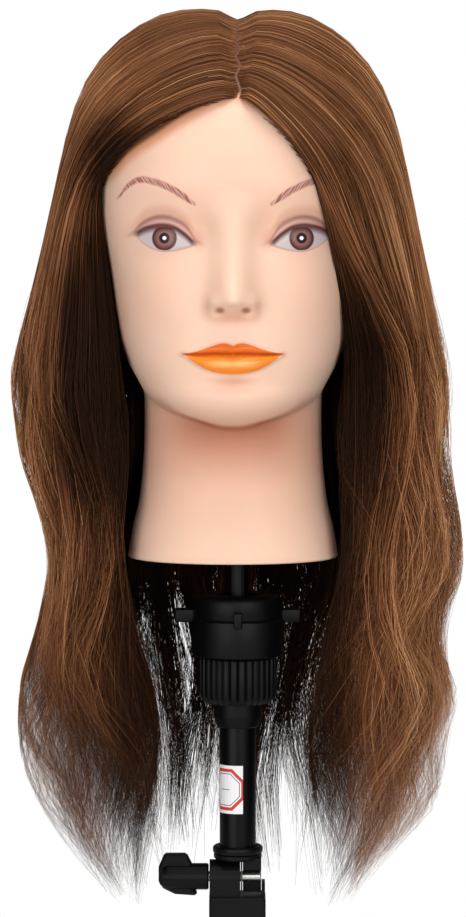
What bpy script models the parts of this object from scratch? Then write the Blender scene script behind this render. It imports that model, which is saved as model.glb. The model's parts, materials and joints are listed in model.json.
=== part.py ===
"""Mannequin training head on a tilting post with a desk clamp.

A soft vinyl head with rooted hair sits on a plug. The plug's rod turns in a collet at the top of a short
upright, the upright tilts on a bolt with a winged knob, and a desk clamp carries the whole thing.

Frame: metres, +Z up, the face looks along -Y. The origin is the middle of the clamp's upper jaw pad, on the
face that presses on the table top.
"""
from math import cos, exp, pi, radians, sin, sqrt, tau

import bmesh
import bpy
from mathutils import Matrix, Vector

# ---------------------------------------------------------------- driving dimensions, metres
GAP = 0.0003  # between pieces that touch
POLE_Y = -0.030  # the upright stands this far in front of the clamp screw
HINGE_Z = 0.095  # tilt bolt above the table top
TUBE_R = 0.0095
POST_R = 0.0110
ROD_R = 0.0055
BOLT_R = 0.00275
PLUG_R = 0.0120
SOCKET_BORE_R = 0.0149  # hole in the core and the plate for the socket cup

# heights above the tilt bolt
TUBE_BOTTOM = 0.0125
TUBE_TOP = 0.1000
SLEEVE_BOTTOM = 0.0795
NUT_BOTTOM = 0.0920
NUT_TOP = 0.1165
COLLAR_BOTTOM = 0.1170
COLLAR_TOP = 0.1490
NECK_BASE = 0.1690
PLUG_BOTTOM = 0.1735
PLUG_TOP = 0.2320

# heights above the neck's lower edge
PLATE_BOTTOM = 0.0055
PLATE_THICKNESS = 0.0025
PLATE_CLEARANCE = 0.0045  # round the plate's edge, inside the shell
FLANGE_THICKNESS = 0.0020
SOCKET_TOP = 0.0680
CORE_BOTTOM = 0.0085
SKULL_TOP = 0.2800
HAIRLINE = 0.2330  # lower edge of the crown hair
HAIR_TOP = 0.2870
HAIR_TIPS = -0.1800
HAIR_THICKNESS = 0.0160  # of the hanging hair, pressed together
HEAD_OFFSET_X = -0.0025  # the head sits slightly off the rod's centre

SHELL_WALL = 0.0045
CORE_GAP = 0.0028
SCREW_CIRCLE_R = 0.0205
CHEEK_FROM = 0.0027
CHEEK_TO = 0.0123
EAR_THICKNESS = 0.0020  # of the lug beside the cheek
TONGUE_FROM = -0.0150
TONGUE_TO = 0.0013
TONGUE_R = 0.0090
BLOCK_TOP = -0.0095
BLOCK_BOTTOM = -0.0340
BLOCK_HALF_Y = 0.0125

# clamp
CLAMP_HALF_WIDTH = 0.0130
SPINE_BACK = -0.0450
SPINE_FRONT = -0.0280
ARM_END = 0.0300
UPPER_ARM_TOP = 0.0120
LOWER_ARM_TOP = -0.0600
LOWER_ARM_BOTTOM = -0.0750
PAD_THICKNESS = 0.0018
CLAMP_SCREW_R = 0.0040
FOOT_TOP = -0.0220
FOOT_BOTTOM = -0.0290
SCREW_END = -0.1130
HANDLE_TOP = -0.1000
HANDLE_BOTTOM = -0.1160

HEAD_COLUMNS = 32
CORE_COLUMNS = 20
CROWN_STEPS = 8


# ---------------------------------------------------------------- scene and material helpers
def clear_scene():
    for obj in list(bpy.data.objects):
        bpy.data.objects.remove(obj, do_unlink=True)


def plain_material(name, color, roughness, metallic=0.0):
    material = bpy.data.materials.new(name)
    material.use_nodes = True
    shader = material.node_tree.nodes["Principled BSDF"]
    shader.inputs["Base Color"].default_value = (*color, 1.0)
    shader.inputs["Roughness"].default_value = roughness
    shader.inputs["Metallic"].default_value = metallic
    material.diffuse_color = (*color, 1.0)
    return material


def black_plastic(name):
    return plain_material(name, (0.012, 0.012, 0.013), 0.35)


def bright_steel(name):
    return plain_material(name, (0.60, 0.60, 0.58), 0.28, 1.0)


def hair_material(name):
    return plain_material(name, (0.12, 0.05, 0.025), 0.45)


def add_empty(name, location, parent=None):
    empty = bpy.data.objects.new(name, None)
    empty.location = location
    empty.parent = parent
    bpy.context.scene.collection.objects.link(empty)
    return empty


def add_piece(name, bm, material, parent=None, location=(0, 0, 0), rotation=(0, 0, 0)):
    """Turn a bmesh into a named object with its own material, smooth where it is round."""
    bmesh.ops.recalc_face_normals(bm, faces=bm.faces)
    mesh = bpy.data.meshes.new(name)
    bm.to_mesh(mesh)
    bm.free()
    mesh.shade_smooth()
    mesh.set_sharp_from_angle(angle=radians(35))
    mesh.materials.append(material)
    obj = bpy.data.objects.new(name, mesh)
    obj.location = location
    obj.rotation_euler = rotation
    obj.parent = parent
    bpy.context.scene.collection.objects.link(obj)
    return obj


def add_cutter(name, bm, parent=None, location=(0, 0, 0), rotation=(0, 0, 0)):
    cutter = add_piece(name, bm, plain_material(name, (1, 0, 0), 1.0), parent, location, rotation)
    cutter.hide_render = True
    cutter.display_type = "WIRE"
    return cutter


def boolean(obj, other, operation):
    modifier = obj.modifiers.new(operation.title(), "BOOLEAN")
    modifier.object = other
    modifier.operation = operation
    modifier.solver = "EXACT"


def round_edges(obj, width, segments=1):
    modifier = obj.modifiers.new("Rounded edges", "BEVEL")
    modifier.width = width
    modifier.segments = segments
    modifier.limit_method = "ANGLE"
    modifier.angle_limit = radians(40)


# ---------------------------------------------------------------- shape helpers
def turned(profile, segments=32, hollow=False):
    """Spin a profile of (radius, height) points about Z. A hollow profile closes on itself."""
    bm = bmesh.new()
    verts = [bm.verts.new((radius, 0, height)) for radius, height in profile]
    pairs = list(zip(verts, verts[1:]))
    if hollow:
        pairs.append((verts[-1], verts[0]))
    edges = [bm.edges.new(pair) for pair in pairs]
    bmesh.ops.spin(bm, geom=verts + edges, axis=(0, 0, 1), cent=(0, 0, 0), angle=tau, steps=segments,
                   use_merge=True)
    bmesh.ops.remove_doubles(bm, verts=bm.verts, dist=1e-6)
    return bm


def cylinder(radius, low, high, segments=24):
    return turned([(0, low), (radius, low), (radius, high), (0, high)], segments)


def box(low, high):
    bm = bmesh.new()
    size = Vector(high) - Vector(low)
    middle = (Vector(high) + Vector(low)) / 2
    bmesh.ops.create_cube(bm, size=1.0, matrix=Matrix.Translation(middle) @ Matrix.Diagonal((*size, 1)))
    return bm


def extruded_along_x(outline, low, high):
    """Extrude a (y, z) outline from x = low to x = high."""
    bm = bmesh.new()
    face = bm.faces.new([bm.verts.new((low, y, z)) for y, z in outline])
    result = bmesh.ops.extrude_face_region(bm, geom=[face])
    moved = [item for item in result["geom"] if isinstance(item, bmesh.types.BMVert)]
    bmesh.ops.translate(bm, vec=(high - low, 0, 0), verts=moved)
    return bm


def ring_stack(rings, closed=False):
    """Join rings of points into one surface. An open stack is capped, a closed one joins its two ends."""
    bm = bmesh.new()
    rows = [[bm.verts.new(point) for point in ring] for ring in rings]
    count = len(rows[0])
    pairs = list(zip(rows, rows[1:]))
    if closed:
        pairs.append((rows[-1], rows[0]))
    for lower, upper in pairs:
        for i in range(count):
            j = (i + 1) % count
            bm.faces.new((lower[i], lower[j], upper[j], upper[i]))
    if not closed:
        bm.faces.new(rows[0][::-1])
        bm.faces.new(rows[-1])
    return bm


def arc(center, radius, start, end, steps):
    """Points (y, z) on an arc, angles in degrees from +Y towards +Z."""
    points = []
    for i in range(steps + 1):
        angle = radians(start + (end - start) * i / steps)
        points.append((center[0] + radius * cos(angle), center[1] + radius * sin(angle)))
    return points


def smooth_curve(points, at):
    """Smooth interpolation through (position, value) points, flat beyond the ends."""
    if at <= points[0][0]:
        return points[0][1]
    if at >= points[-1][0]:
        return points[-1][1]
    index = max(i for i, point in enumerate(points[:-1]) if point[0] <= at)
    (x0, y0), (x1, y1) = points[index], points[index + 1]
    before = points[max(index - 1, 0)]
    after = points[min(index + 2, len(points) - 1)]
    slope0 = (y1 - before[1]) / (x1 - before[0])
    slope1 = (after[1] - y0) / (after[0] - x0)
    span = x1 - x0
    t = (at - x0) / span
    return (
        y0 * (2 * t**3 - 3 * t**2 + 1)
        + slope0 * span * (t**3 - 2 * t**2 + t)
        + y1 * (3 * t**2 - 2 * t**3)
        + slope1 * span * (t**3 - t**2)
    )


# ---------------------------------------------------------------- the head's form
# Each outline gives a distance in metres at a height above the neck's lower edge.
NECK_WIDTH = [(0.0, 0.0550), (0.015, 0.0525), (0.030, 0.0490), (0.055, 0.0465), (0.085, 0.0460),
              (0.120, 0.0460)]
NECK_FRONT = [(0.0, 0.0550), (0.015, 0.0515), (0.030, 0.0485), (0.055, 0.0460), (0.085, 0.0440),
              (0.120, 0.0400)]
NECK_BACK = [(0.0, 0.0540), (0.030, 0.0500), (0.060, 0.0480), (0.090, 0.0490), (0.120, 0.0480)]
HEAD_WIDTH = [(0.062, 0.008), (0.068, 0.014), (0.0713, 0.0190), (0.0735, 0.0255), (0.0765, 0.0335),
              (0.0805, 0.0400), (0.0855, 0.0450), (0.0920, 0.0490), (0.102, 0.0545), (0.114, 0.0593),
              (0.128, 0.0622), (0.150, 0.0658), (0.175, 0.0710), (0.200, 0.0740), (0.220, 0.0735),
              (0.240, 0.0685), (0.256, 0.0590), (0.268, 0.0460), (0.276, 0.0290), (0.280, 0.0)]
HEAD_FRONT = [(0.062, 0.022), (0.0665, 0.038), (0.0695, 0.051), (0.0725, 0.0615), (0.0755, 0.0685),
              (0.0795, 0.0735), (0.0850, 0.0757), (0.092, 0.0752), (0.105, 0.0760), (0.125, 0.0775),
              (0.150, 0.0790), (0.175, 0.0825), (0.200, 0.0855), (0.215, 0.0840), (0.236, 0.0745),
              (0.254, 0.0575), (0.268, 0.0360), (0.276, 0.0140), (0.280, 0.0)]
HEAD_BACK = [(0.062, 0.020), (0.080, 0.038), (0.100, 0.051), (0.120, 0.0660), (0.145, 0.0840),
             (0.170, 0.0945),
             (0.195, 0.0985), (0.220, 0.0940), (0.242, 0.0810), (0.258, 0.0640), (0.270, 0.0440),
             (0.277, 0.0260), (0.280, 0.0)]
CROWN_Y = 0.010  # the skull's highest point lies this far behind the rod
TEMPLE_Z = 0.200  # above this the sections lean back towards the crown


def section_radius(width, front, back, turn, power):
    """Distance from the axis to a rounded section at an angle, turn = 0 at the front."""
    depth = front if cos(turn) > 0 else back
    if width <= 0 or depth <= 0:
        return 0.0
    return (abs(sin(turn) / width) ** power + abs(cos(turn) / depth) ** power) ** (-1 / power)


def bump(x, z, center_x, center_z, size_x, size_z):
    return exp(-(((x - center_x) / size_x) ** 2) - ((z - center_z) / size_z) ** 2)


def face_relief(x, z):
    """How far the features stand out of the plain form, in metres, at a place on the face."""
    side = abs(x)
    nose_run = min(max((0.182 - z) / 0.052, 0.0), 1.0)
    below = min(max((z - 0.1215) / 0.0075, 0.0), 1.0)
    bridge = (0.002 + 0.019 * nose_run**1.3) * below * exp(-((x / (0.0060 + 0.0035 * nose_run)) ** 2))
    bridge *= min(max((0.192 - z) / 0.012, 0.0), 1.0)
    height = bridge
    height += 0.0055 * bump(side, z, 0.0095, 0.1285, 0.0046, 0.0050)
    height -= 0.0062 * bump(side, z, 0.0330, 0.1640, 0.0210, 0.0130)
    height -= 0.0040 * bump(side, z, 0.0130, 0.1660, 0.0075, 0.0110)
    height += 0.0040 * bump(side, z, 0.0343, 0.1634, 0.0120, 0.0085)
    height += 0.0040 * bump(x, z, 0.0, 0.1070, 0.0260, 0.0160)
    height += 0.0046 * bump(x, z, 0.0, 0.1105, 0.0170, 0.0036)
    height += 0.0055 * bump(x, z, 0.0, 0.1015, 0.0150, 0.0042)
    height += 0.0035 * bump(x, z, 0.0, 0.0830, 0.0150, 0.0090)
    height += 0.0028 * bump(side, z, 0.0370, 0.1350, 0.0180, 0.0180)
    return height


def head_radius(turn, z, relief=True):
    """Distance from the rod's axis to the vinyl's outside."""
    neck = section_radius(smooth_curve(NECK_WIDTH, z), smooth_curve(NECK_FRONT, z),
                          smooth_curve(NECK_BACK, z),
                          turn, 2.1)
    head = section_radius(smooth_curve(HEAD_WIDTH, z), smooth_curve(HEAD_FRONT, z),
                          smooth_curve(HEAD_BACK, z),
                          turn, 2.2)
    if z < 0.120:
        blend = 0.004
        head = (neck + head + sqrt((neck - head) ** 2 + blend**2)) / 2
    if relief and cos(turn) > 0:
        head += face_relief(head * sin(turn), z) * cos(turn) ** 2
    return head


def crown_lean(z):
    """How far the sections have moved back at a height, so that the crown ends behind the rod."""
    return CROWN_Y * min(max((z - TEMPLE_Z) / (SKULL_TOP - TEMPLE_Z), 0.0), 1.0) ** 2


def head_point(turn, z, extra=0.0, relief=True):
    """A point on the vinyl's outside, moved outwards by extra."""
    radius = max(head_radius(turn, z, relief) + extra, 0.0002)
    return (radius * sin(turn), -radius * cos(turn) + crown_lean(z), z)


def head_ring(z, columns, extra=0.0, relief=True):
    return [head_point(tau * i / columns, z, extra, relief) for i in range(columns)]


OUTER_ROWS = [0.0, 0.012, 0.030, 0.050, 0.062, 0.0665, 0.070, 0.074, 0.079, 0.086, 0.093, 0.0985, 0.1025,
              0.107, 0.1115, 0.118, 0.1225, 0.128, 0.134, 0.144, 0.155, 0.163, 0.172, 0.184, 0.200,
              0.216, 0.2335, 0.246, 0.258, 0.268, 0.275, 0.279]
INNER_ROWS = [0.0, 0.030, 0.056, 0.064, 0.068, 0.072, 0.077, 0.085, 0.096, 0.110, 0.135, 0.165, 0.195, 0.220,
              0.240, 0.256, 0.266, 0.2725]


def inner_ring(z, extra):
    """A ring of the shell's inside, or of the core when extra takes off more."""
    ring = []
    for i in range(CORE_COLUMNS):
        turn = tau * i / CORE_COLUMNS
        dent = 0.0
        if cos(turn) > 0:
            dent = min(face_relief(head_radius(turn, z, False) * sin(turn), z), 0.0)
            dent -= 0.004 * bump(z, 0.0, 0.067, 0.0, 0.006, 1.0)
        ring.append(head_point(turn, z, dent - extra, False))
    return ring


# ---------------------------------------------------------------- head pieces
def build_head_shell(parent):
    rings = [head_ring(z, HEAD_COLUMNS) for z in OUTER_ROWS]
    outside = ring_stack(rings)
    shell = add_piece("head_shell", outside, plain_material("skin_vinyl", (0.86, 0.60, 0.46), 0.42), parent)
    low = [(x, y, -0.005) for x, y, z in inner_ring(0.0, SHELL_WALL)]
    hollow = ring_stack([low] + [inner_ring(z, SHELL_WALL) for z in INNER_ROWS])
    boolean(shell, add_cutter("cut_shell_inside", hollow, parent), "DIFFERENCE")
    return shell


def plate_screw_places():
    places = []
    for i in range(4):
        turn = radians(45 + 90 * i)
        places.append((SCREW_CIRCLE_R * cos(turn), SCREW_CIRCLE_R * sin(turn)))
    return places


def screw_hole_cutter(parent):
    """Four clearance holes in one cutter."""
    bm = bmesh.new()
    for x, y in plate_screw_places():
        place = Matrix.Translation((x, y, 0.0120))
        bmesh.ops.create_cone(bm, cap_ends=True, segments=10, radius1=0.0018, radius2=0.0018, depth=0.0240,
                              matrix=place)
    return add_cutter("cut_plate_screws", bm, parent)


def build_foam_core(parent, screw_holes):
    rows = [CORE_BOTTOM] + [z for z in INNER_ROWS if z > CORE_BOTTOM][:-1]
    rings = []
    for z in rows:
        chin_room = 0.0012 * bump(z, 0.0, 0.070, 0.0, 0.008, 1.0)
        rings.append(inner_ring(z, SHELL_WALL + CORE_GAP + chin_room))
    foam = plain_material("core_foam", (0.80, 0.74, 0.60), 0.9)
    core = add_piece("foam_core", ring_stack(rings), foam, parent)
    bore = cylinder(SOCKET_BORE_R, -0.002, SOCKET_TOP + 2 * GAP, 24)
    boolean(core, add_cutter("cut_core_bore", bore, parent, (-HEAD_OFFSET_X, 0, 0)), "DIFFERENCE")
    boolean(core, screw_holes, "DIFFERENCE")
    return core


def build_neck_plate(parent, screw_holes):
    top = PLATE_BOTTOM + PLATE_THICKNESS
    outline = inner_ring(0.0, SHELL_WALL + PLATE_CLEARANCE)
    rings = [[(x, y, height) for x, y, z in outline] for height in (PLATE_BOTTOM, top)]
    plate = add_piece("neck_plate", ring_stack(rings), black_plastic("plate_plastic"), parent)
    hole = cylinder(SOCKET_BORE_R, -0.002, 0.02, 24)
    boolean(plate, add_cutter("cut_plate_hole", hole, parent, (-HEAD_OFFSET_X, 0, 0)), "DIFFERENCE")
    boolean(plate, screw_holes, "DIFFERENCE")
    return plate


def build_socket(parent, screw_holes):
    """The cup that the plug fills, with the flange that the screws hold."""
    flange_top = PLATE_BOTTOM - GAP
    flange_bottom = flange_top - FLANGE_THICKNESS
    wall_out, wall_in = SOCKET_BORE_R - GAP, PLUG_R + 2 * GAP
    profile = [
        (wall_in, flange_bottom),
        (0.0260, flange_bottom),
        (0.0260, flange_top),
        (wall_out, flange_top),
        (wall_out, SOCKET_TOP),
        (0, SOCKET_TOP),
        (0, SOCKET_TOP - 0.0015),
        (wall_in, SOCKET_TOP - 0.0015),
        (wall_in, flange_bottom),
    ]
    socket = add_piece("socket_cup", turned(profile, 24), black_plastic("socket_plastic"), parent,
                       (-HEAD_OFFSET_X, 0, 0))
    boolean(socket, screw_holes, "DIFFERENCE")
    return socket


def build_plate_screws(parent):
    flange_bottom = PLATE_BOTTOM - GAP - FLANGE_THICKNESS
    head_top = flange_bottom - GAP
    profile = [(0, head_top - 0.0016), (0.0022, head_top - 0.0016), (0.0031, head_top - 0.0006),
               (0.0031, head_top), (0.0015, head_top), (0.0015, 0.0200), (0, 0.0225)]
    for number, (x, y) in enumerate(plate_screw_places(), 1):
        add_piece(f"plate_screw_{number}", turned(profile, 10), bright_steel(f"plate_screw_steel_{number}"),
                  parent, (x, y, 0))


# ---------------------------------------------------------------- hair pieces
# Outer reach of the hair to the side and to the back, and how far forward the curtains come, against height.
HAIR_SIDE = [(-0.180, 0.078), (-0.150, 0.092), (-0.110, 0.108), (-0.060, 0.106), (-0.010, 0.106),
             (0.040, 0.109),
             (0.080, 0.112), (0.120, 0.107), (0.160, 0.100), (0.200, 0.090), (0.2325, 0.0800)]
HAIR_DEPTH = [(-0.180, 0.062), (-0.150, 0.076), (-0.100, 0.086), (0.0, 0.090), (0.080, 0.096), (0.150, 0.106),
              (0.200, 0.107), (0.2325, 0.099)]
HAIR_INNER = [(-0.180, 0.060), (0.0, 0.062), (0.060, 0.0640), (0.090, 0.070), (0.120, 0.078), (0.160, 0.0)]
CURTAIN_EDGE = [(-0.180, 52), (-0.060, 44), (0.0, 44), (0.060, 52), (0.100, 58), (0.150, 56), (0.190, 47),
                (0.215, 33), (0.2325, 20)]
CURTAIN_ROWS = [0.2325, 0.218, 0.202, 0.180, 0.150, 0.120, 0.090, 0.060, 0.030, 0.0, -0.030, -0.060, -0.090,
                -0.120,
                -0.150, HAIR_TIPS]


def hair_reach(turn, z):
    side = smooth_curve(HAIR_SIDE, z)
    depth = smooth_curve(HAIR_DEPTH, z)
    return section_radius(side, depth * 0.93, depth, turn, 2.0)


def hair_inside(turn, z):
    """The curtains hang clear of the vinyl and of the space round the upright."""
    clear_of_vinyl = head_radius(turn, z, False) + 0.0022 if z > 0.002 else 0.0
    return max(clear_of_vinyl, smooth_curve(HAIR_INNER, z), hair_reach(turn, z) - HAIR_THICKNESS)


def hair_outside(turn, z):
    return max(hair_reach(turn, z), hair_inside(turn, z) + 0.004)


def curtain_mesh(first_turn, last_turn, columns):
    """A hanging sheet of hair between two angles, given as functions of height."""
    rings = []
    for z in CURTAIN_ROWS:
        start, end = first_turn(z), last_turn(z)
        turns = [start + (end - start) * i / columns for i in range(columns + 1)]
        lean = crown_lean(z)
        outer = [(hair_outside(t, z) * sin(t), -hair_outside(t, z) * cos(t) + lean, z) for t in turns]
        inner = [(hair_inside(t, z) * sin(t), -hair_inside(t, z) * cos(t) + lean, z) for t in reversed(turns)]
        rings.append(outer + inner)
    return ring_stack(rings)


def build_hair_curtain(name, side, parent):
    mesh = curtain_mesh(lambda z: side * radians(smooth_curve(CURTAIN_EDGE, z)),
                        lambda z: side * radians(97), 5)
    add_piece(name, mesh, hair_material(name + "_fibre"), parent)


def build_hair_back(name, side, parent):
    mesh = curtain_mesh(lambda z: side * radians(98.5), lambda z: side * radians(179.4), 7)
    add_piece(name, mesh, hair_material(name + "_fibre"), parent)


def build_hair_crown(parent):
    """A cap of hair over the skull, as wide as the curtains where it meets them."""
    rows = [z for z in OUTER_ROWS if z > HAIRLINE]
    inner = [head_ring(z, HEAD_COLUMNS, 0.0016) for z in rows]
    inner.append([(x * 0.2, (y - CROWN_Y) * 0.2 + CROWN_Y, SKULL_TOP + 0.0006) for x, y, z in inner[-1]])
    outer = []
    for step in range(CROWN_STEPS):
        rise = pi / 2 * step / CROWN_STEPS
        z = HAIRLINE + (HAIR_TOP - HAIRLINE) * sin(rise)
        ring = []
        for i in range(HEAD_COLUMNS):
            turn = tau * i / HEAD_COLUMNS
            reach = section_radius(0.0800, 0.0850, 0.0990, turn, 2.1) * cos(rise) ** 0.80
            ring.append((reach * sin(turn), -reach * cos(turn) + CROWN_Y * sin(rise), z))
        outer.append(ring)
    bm = ring_stack(inner[::-1] + [lift_ring(outer[0])] + outer[1:])
    add_piece("hair_crown", bm, hair_material("hair_crown_fibre"), parent)


def lift_ring(ring):
    return [(x, y, HAIRLINE + 0.0005) for x, y, z in ring]


def build_hair(parent):
    build_hair_crown(parent)
    build_hair_curtain("hair_left", -1, parent)
    build_hair_curtain("hair_right", 1, parent)
    build_hair_back("hair_back_left", -1, parent)
    build_hair_back("hair_back_right", 1, parent)


# ---------------------------------------------------------------- plug, rod and the top of the upright
def build_spigot(parent):
    rod = [(0, 0.1015), (ROD_R - 0.0008, 0.1015), (ROD_R, 0.1025), (ROD_R, 0.2260), (0, 0.2260)]
    add_piece("spigot_rod", turned(rod, 20), black_plastic("rod_coating"), parent)
    profile = [
        (ROD_R + GAP, PLUG_BOTTOM),
        (PLUG_R - 0.0008, PLUG_BOTTOM),
        (PLUG_R, PLUG_BOTTOM + 0.0010),
        (PLUG_R, PLUG_TOP - 0.0100),
        (PLUG_R - 0.0030, PLUG_TOP),
        (0, PLUG_TOP),
        (0, 0.2263),
        (ROD_R + GAP, 0.2263),
        (ROD_R + GAP, PLUG_BOTTOM),
    ]
    plug = add_piece("spigot_plug", turned(profile, 24), black_plastic("plug_plastic"), parent)
    screw_place = (0, -(ROD_R + 2 * GAP), 0.1820)
    hole = cylinder(0.0023, -0.0030, 0.0100, 12)
    boolean(plug, add_cutter("cut_grub_hole", hole, parent, screw_place, (pi / 2, 0, 0)), "DIFFERENCE")
    screw = turned([(0, 0), (0.0012, 0), (0.0020, 0.0008), (0.0020, 0.0050), (0, 0.0050)], 12)
    add_piece("plug_grub_screw", screw, bright_steel("grub_screw_steel"), parent, screw_place, (pi / 2, 0, 0))


def build_adapter_collar(parent):
    """The round head of the upright, with four hanging lugs."""
    wide, narrow = 0.0243, 0.0234
    profile = [
        (ROD_R + GAP, COLLAR_TOP - 0.0030),
        (0.0100, COLLAR_TOP - 0.0030),
        (0.0110, COLLAR_TOP),
        (0.0205, COLLAR_TOP),
        (0.0226, COLLAR_TOP - 0.0014),
        (narrow, COLLAR_TOP - 0.0042),
        (narrow, 0.1374),
        (0.0230, 0.1366),
        (wide, 0.1358),
        (wide, COLLAR_BOTTOM + 0.0010),
        (wide - 0.0010, COLLAR_BOTTOM),
        (0.0149, COLLAR_BOTTOM),
        (0.0149, 0.1255),
        (ROD_R + GAP, 0.1255),
    ]
    collar = add_piece("adapter_collar", turned(profile, 28, hollow=True), black_plastic("collar_plastic"),
                       parent)
    for number in range(4):
        turn = pi / 2 * number
        reach = 0.0262 if number == 0 else 0.0330
        low, high = (-0.0022, 0.1330) if number == 0 else (-0.0040, 0.1345)
        lug = box((low, -reach, high), (-low, -0.0215, 0.1415))
        piece = add_cutter(f"form_lug_{number}", lug, parent, (0, 0, 0), (0, 0, turn))
        boolean(collar, piece, "UNION")


def build_collet(parent):
    profile = [(ROD_R + GAP, 0.1030), (0.0080, 0.1030), (0.0090, 0.1100), (0.0090, 0.1230),
               (ROD_R + GAP, 0.1230)]
    nylon = plain_material("collet_nylon", (0.62, 0.60, 0.55), 0.5)
    add_piece("collet", turned(profile, 20, hollow=True), nylon,
              parent)


def build_sleeve(parent):
    bore, seat = TUBE_R + GAP, 0.0093
    profile = [
        (bore, SLEEVE_BOTTOM),
        (0.0110, SLEEVE_BOTTOM),
        (0.0127, 0.0850),
        (0.0127, 0.0915),
        (0.0145, 0.0940),
        (0.0145, 0.1250),
        (seat, 0.1250),
        (seat, 0.1010),
        (bore, 0.1003),
    ]
    add_piece("sleeve", turned(profile, 28, hollow=True), black_plastic("sleeve_plastic"), parent)


def build_grip_nut(parent):
    """Ribbed ring that closes the collet."""
    ribs = 24
    bore = 0.0150
    rings = []
    for z, scale in ((NUT_BOTTOM, 0.82), (0.0945, 0.97), (0.0955, 1.0), (NUT_TOP - 0.0006, 1.0),
                     (NUT_TOP, 0.97)):
        ring = []
        for i in range(2 * ribs):
            radius = (0.0205 if i % 2 else 0.0195) * scale
            turn = tau * i / (2 * ribs)
            ring.append((radius * cos(turn), radius * sin(turn), z))
        rings.append(ring)
    for z in (NUT_TOP, NUT_BOTTOM):
        turns = [tau * i / (2 * ribs) for i in range(2 * ribs)]
        rings.append([(bore * cos(turn), bore * sin(turn), z) for turn in turns])
    add_piece("grip_nut", ring_stack(rings, closed=True), black_plastic("nut_plastic"), parent)


def build_tube(parent):
    wall = 0.0013
    profile = [
        (TUBE_R - wall, TUBE_BOTTOM),
        (TUBE_R, TUBE_BOTTOM),
        (TUBE_R, TUBE_TOP),
        (TUBE_R - wall, TUBE_TOP),
    ]
    add_piece("upper_tube", turned(profile, 32, hollow=True), black_plastic("tube_lacquer"), parent)
    ring = [(TUBE_R + GAP, 0.0125), (0.0120, 0.0125), (0.0131, 0.0136), (0.0131, 0.0156), (0.0122, 0.0166),
            (TUBE_R + GAP, 0.0166)]
    add_piece("tube_ring", turned(ring, 28, hollow=True), black_plastic("ring_plastic"), parent)


def build_label(parent):
    """A paper sticker wrapped round the left front of the tube."""
    inner, outer = TUBE_R + 0.0001, TUBE_R + 0.00028
    turns = [radians(-104 + 120 * i / 10) for i in range(11)]
    section = [(outer * sin(t), -outer * cos(t)) for t in turns]
    section += [(inner * sin(t), -inner * cos(t)) for t in reversed(turns)]
    rings = [[(x, y, z) for x, y in section] for z in (0.0345, 0.0598)]
    add_piece("tube_label", ring_stack(rings), plain_material("label_paper", (0.85, 0.84, 0.84), 0.6), parent)


# ---------------------------------------------------------------- tilt joint
def build_upper_tilt_block(parent):
    plate = [(0, 0.0096), (0.0118, 0.0096), (0.0126, 0.0104), (0.0126, 0.0122), (0.0078, 0.0122),
             (0.0078, 0.0300),
             (0, 0.0300)]
    block = add_piece("upper_tilt_block", turned(plate, 28), black_plastic("upper_block_plastic"), parent)
    outline = [(-0.0085, 0.0110), (-0.0085, 0.0050), (0.0006, 0.0040)]
    outline += arc((0, 0), 0.0085, -84, 0, 6)
    outline += [(0.0085, 0.0110)]
    cheek = add_cutter("form_cheek", extruded_along_x(outline, CHEEK_FROM, CHEEK_TO), parent)
    boolean(block, cheek, "UNION")
    channel = cylinder(BOLT_R + GAP, -0.02, 0.02, 16)
    boolean(block, add_cutter("cut_bolt_channel", channel, parent, (0, 0, 0), (0, pi / 2, 0)), "DIFFERENCE")


def build_lower_tilt_block(parent):
    base = box((TONGUE_FROM, -BLOCK_HALF_Y, BLOCK_BOTTOM),
               (CHEEK_TO + GAP + EAR_THICKNESS, BLOCK_HALF_Y, BLOCK_TOP))
    block = add_piece("lower_tilt_block", base, black_plastic("lower_block_plastic"), parent)
    round_edges(block, 0.0012)
    foot = [(-TONGUE_R, BLOCK_TOP - 0.002), (TONGUE_R, BLOCK_TOP - 0.002)]
    outline = foot + arc((0, 0), TONGUE_R, 0, 180, 12)
    tongue = add_cutter("form_tongue", extruded_along_x(outline, TONGUE_FROM + 0.0002, TONGUE_TO), parent)
    boolean(block, tongue, "UNION")
    ear_outline = [(-0.0070, BLOCK_TOP - 0.002), (0.0090, BLOCK_TOP - 0.002), (0.0090, -0.0060),
                   (0.0060, -0.0025),
                   (-0.0030, -0.0025), (-0.0070, -0.0060)]
    ear_shape = extruded_along_x(ear_outline, CHEEK_TO + GAP, CHEEK_TO + EAR_THICKNESS)
    ear = add_cutter("form_ear", ear_shape, parent)
    boolean(block, ear, "UNION")
    hole = cylinder(BOLT_R + GAP, -0.02, 0.006, 16)
    boolean(block, add_cutter("cut_tongue_hole", hole, parent, (0, 0, 0), (0, pi / 2, 0)), "DIFFERENCE")
    socket = cylinder(POST_R + GAP, BLOCK_BOTTOM - 0.002, -0.0180, 28)
    boolean(block, add_cutter("cut_post_socket", socket, parent), "DIFFERENCE")
    screw_hole = cylinder(0.0023, 0, 0.0150, 12)
    cutter = add_cutter("cut_block_screw", screw_hole, parent, (0, -0.0040, -0.0260), (pi / 2, 0, 0))
    boolean(block, cutter, "DIFFERENCE")
    screw = turned([(0, 0), (0.0020, 0), (0.0020, 0.0014), (0.0035, 0.0014), (0.0035, 0.0034), (0, 0.0034)],
                   14)
    add_piece("block_screw", screw, bright_steel("block_screw_steel"), parent,
              (0, -(BLOCK_HALF_Y + GAP - 0.0014), -0.0260), (pi / 2, 0, 0))


def build_friction_disc(parent):
    profile = [(BOLT_R + GAP, 0.0016), (0.0078, 0.0016), (0.0078, 0.0024), (BOLT_R + GAP, 0.0024)]
    add_piece("friction_disc", turned(profile, 24, hollow=True),
              plain_material("disc_fibre", (0.10, 0.09, 0.08), 0.8), parent, (0, 0, 0), (0, pi / 2, 0))


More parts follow.
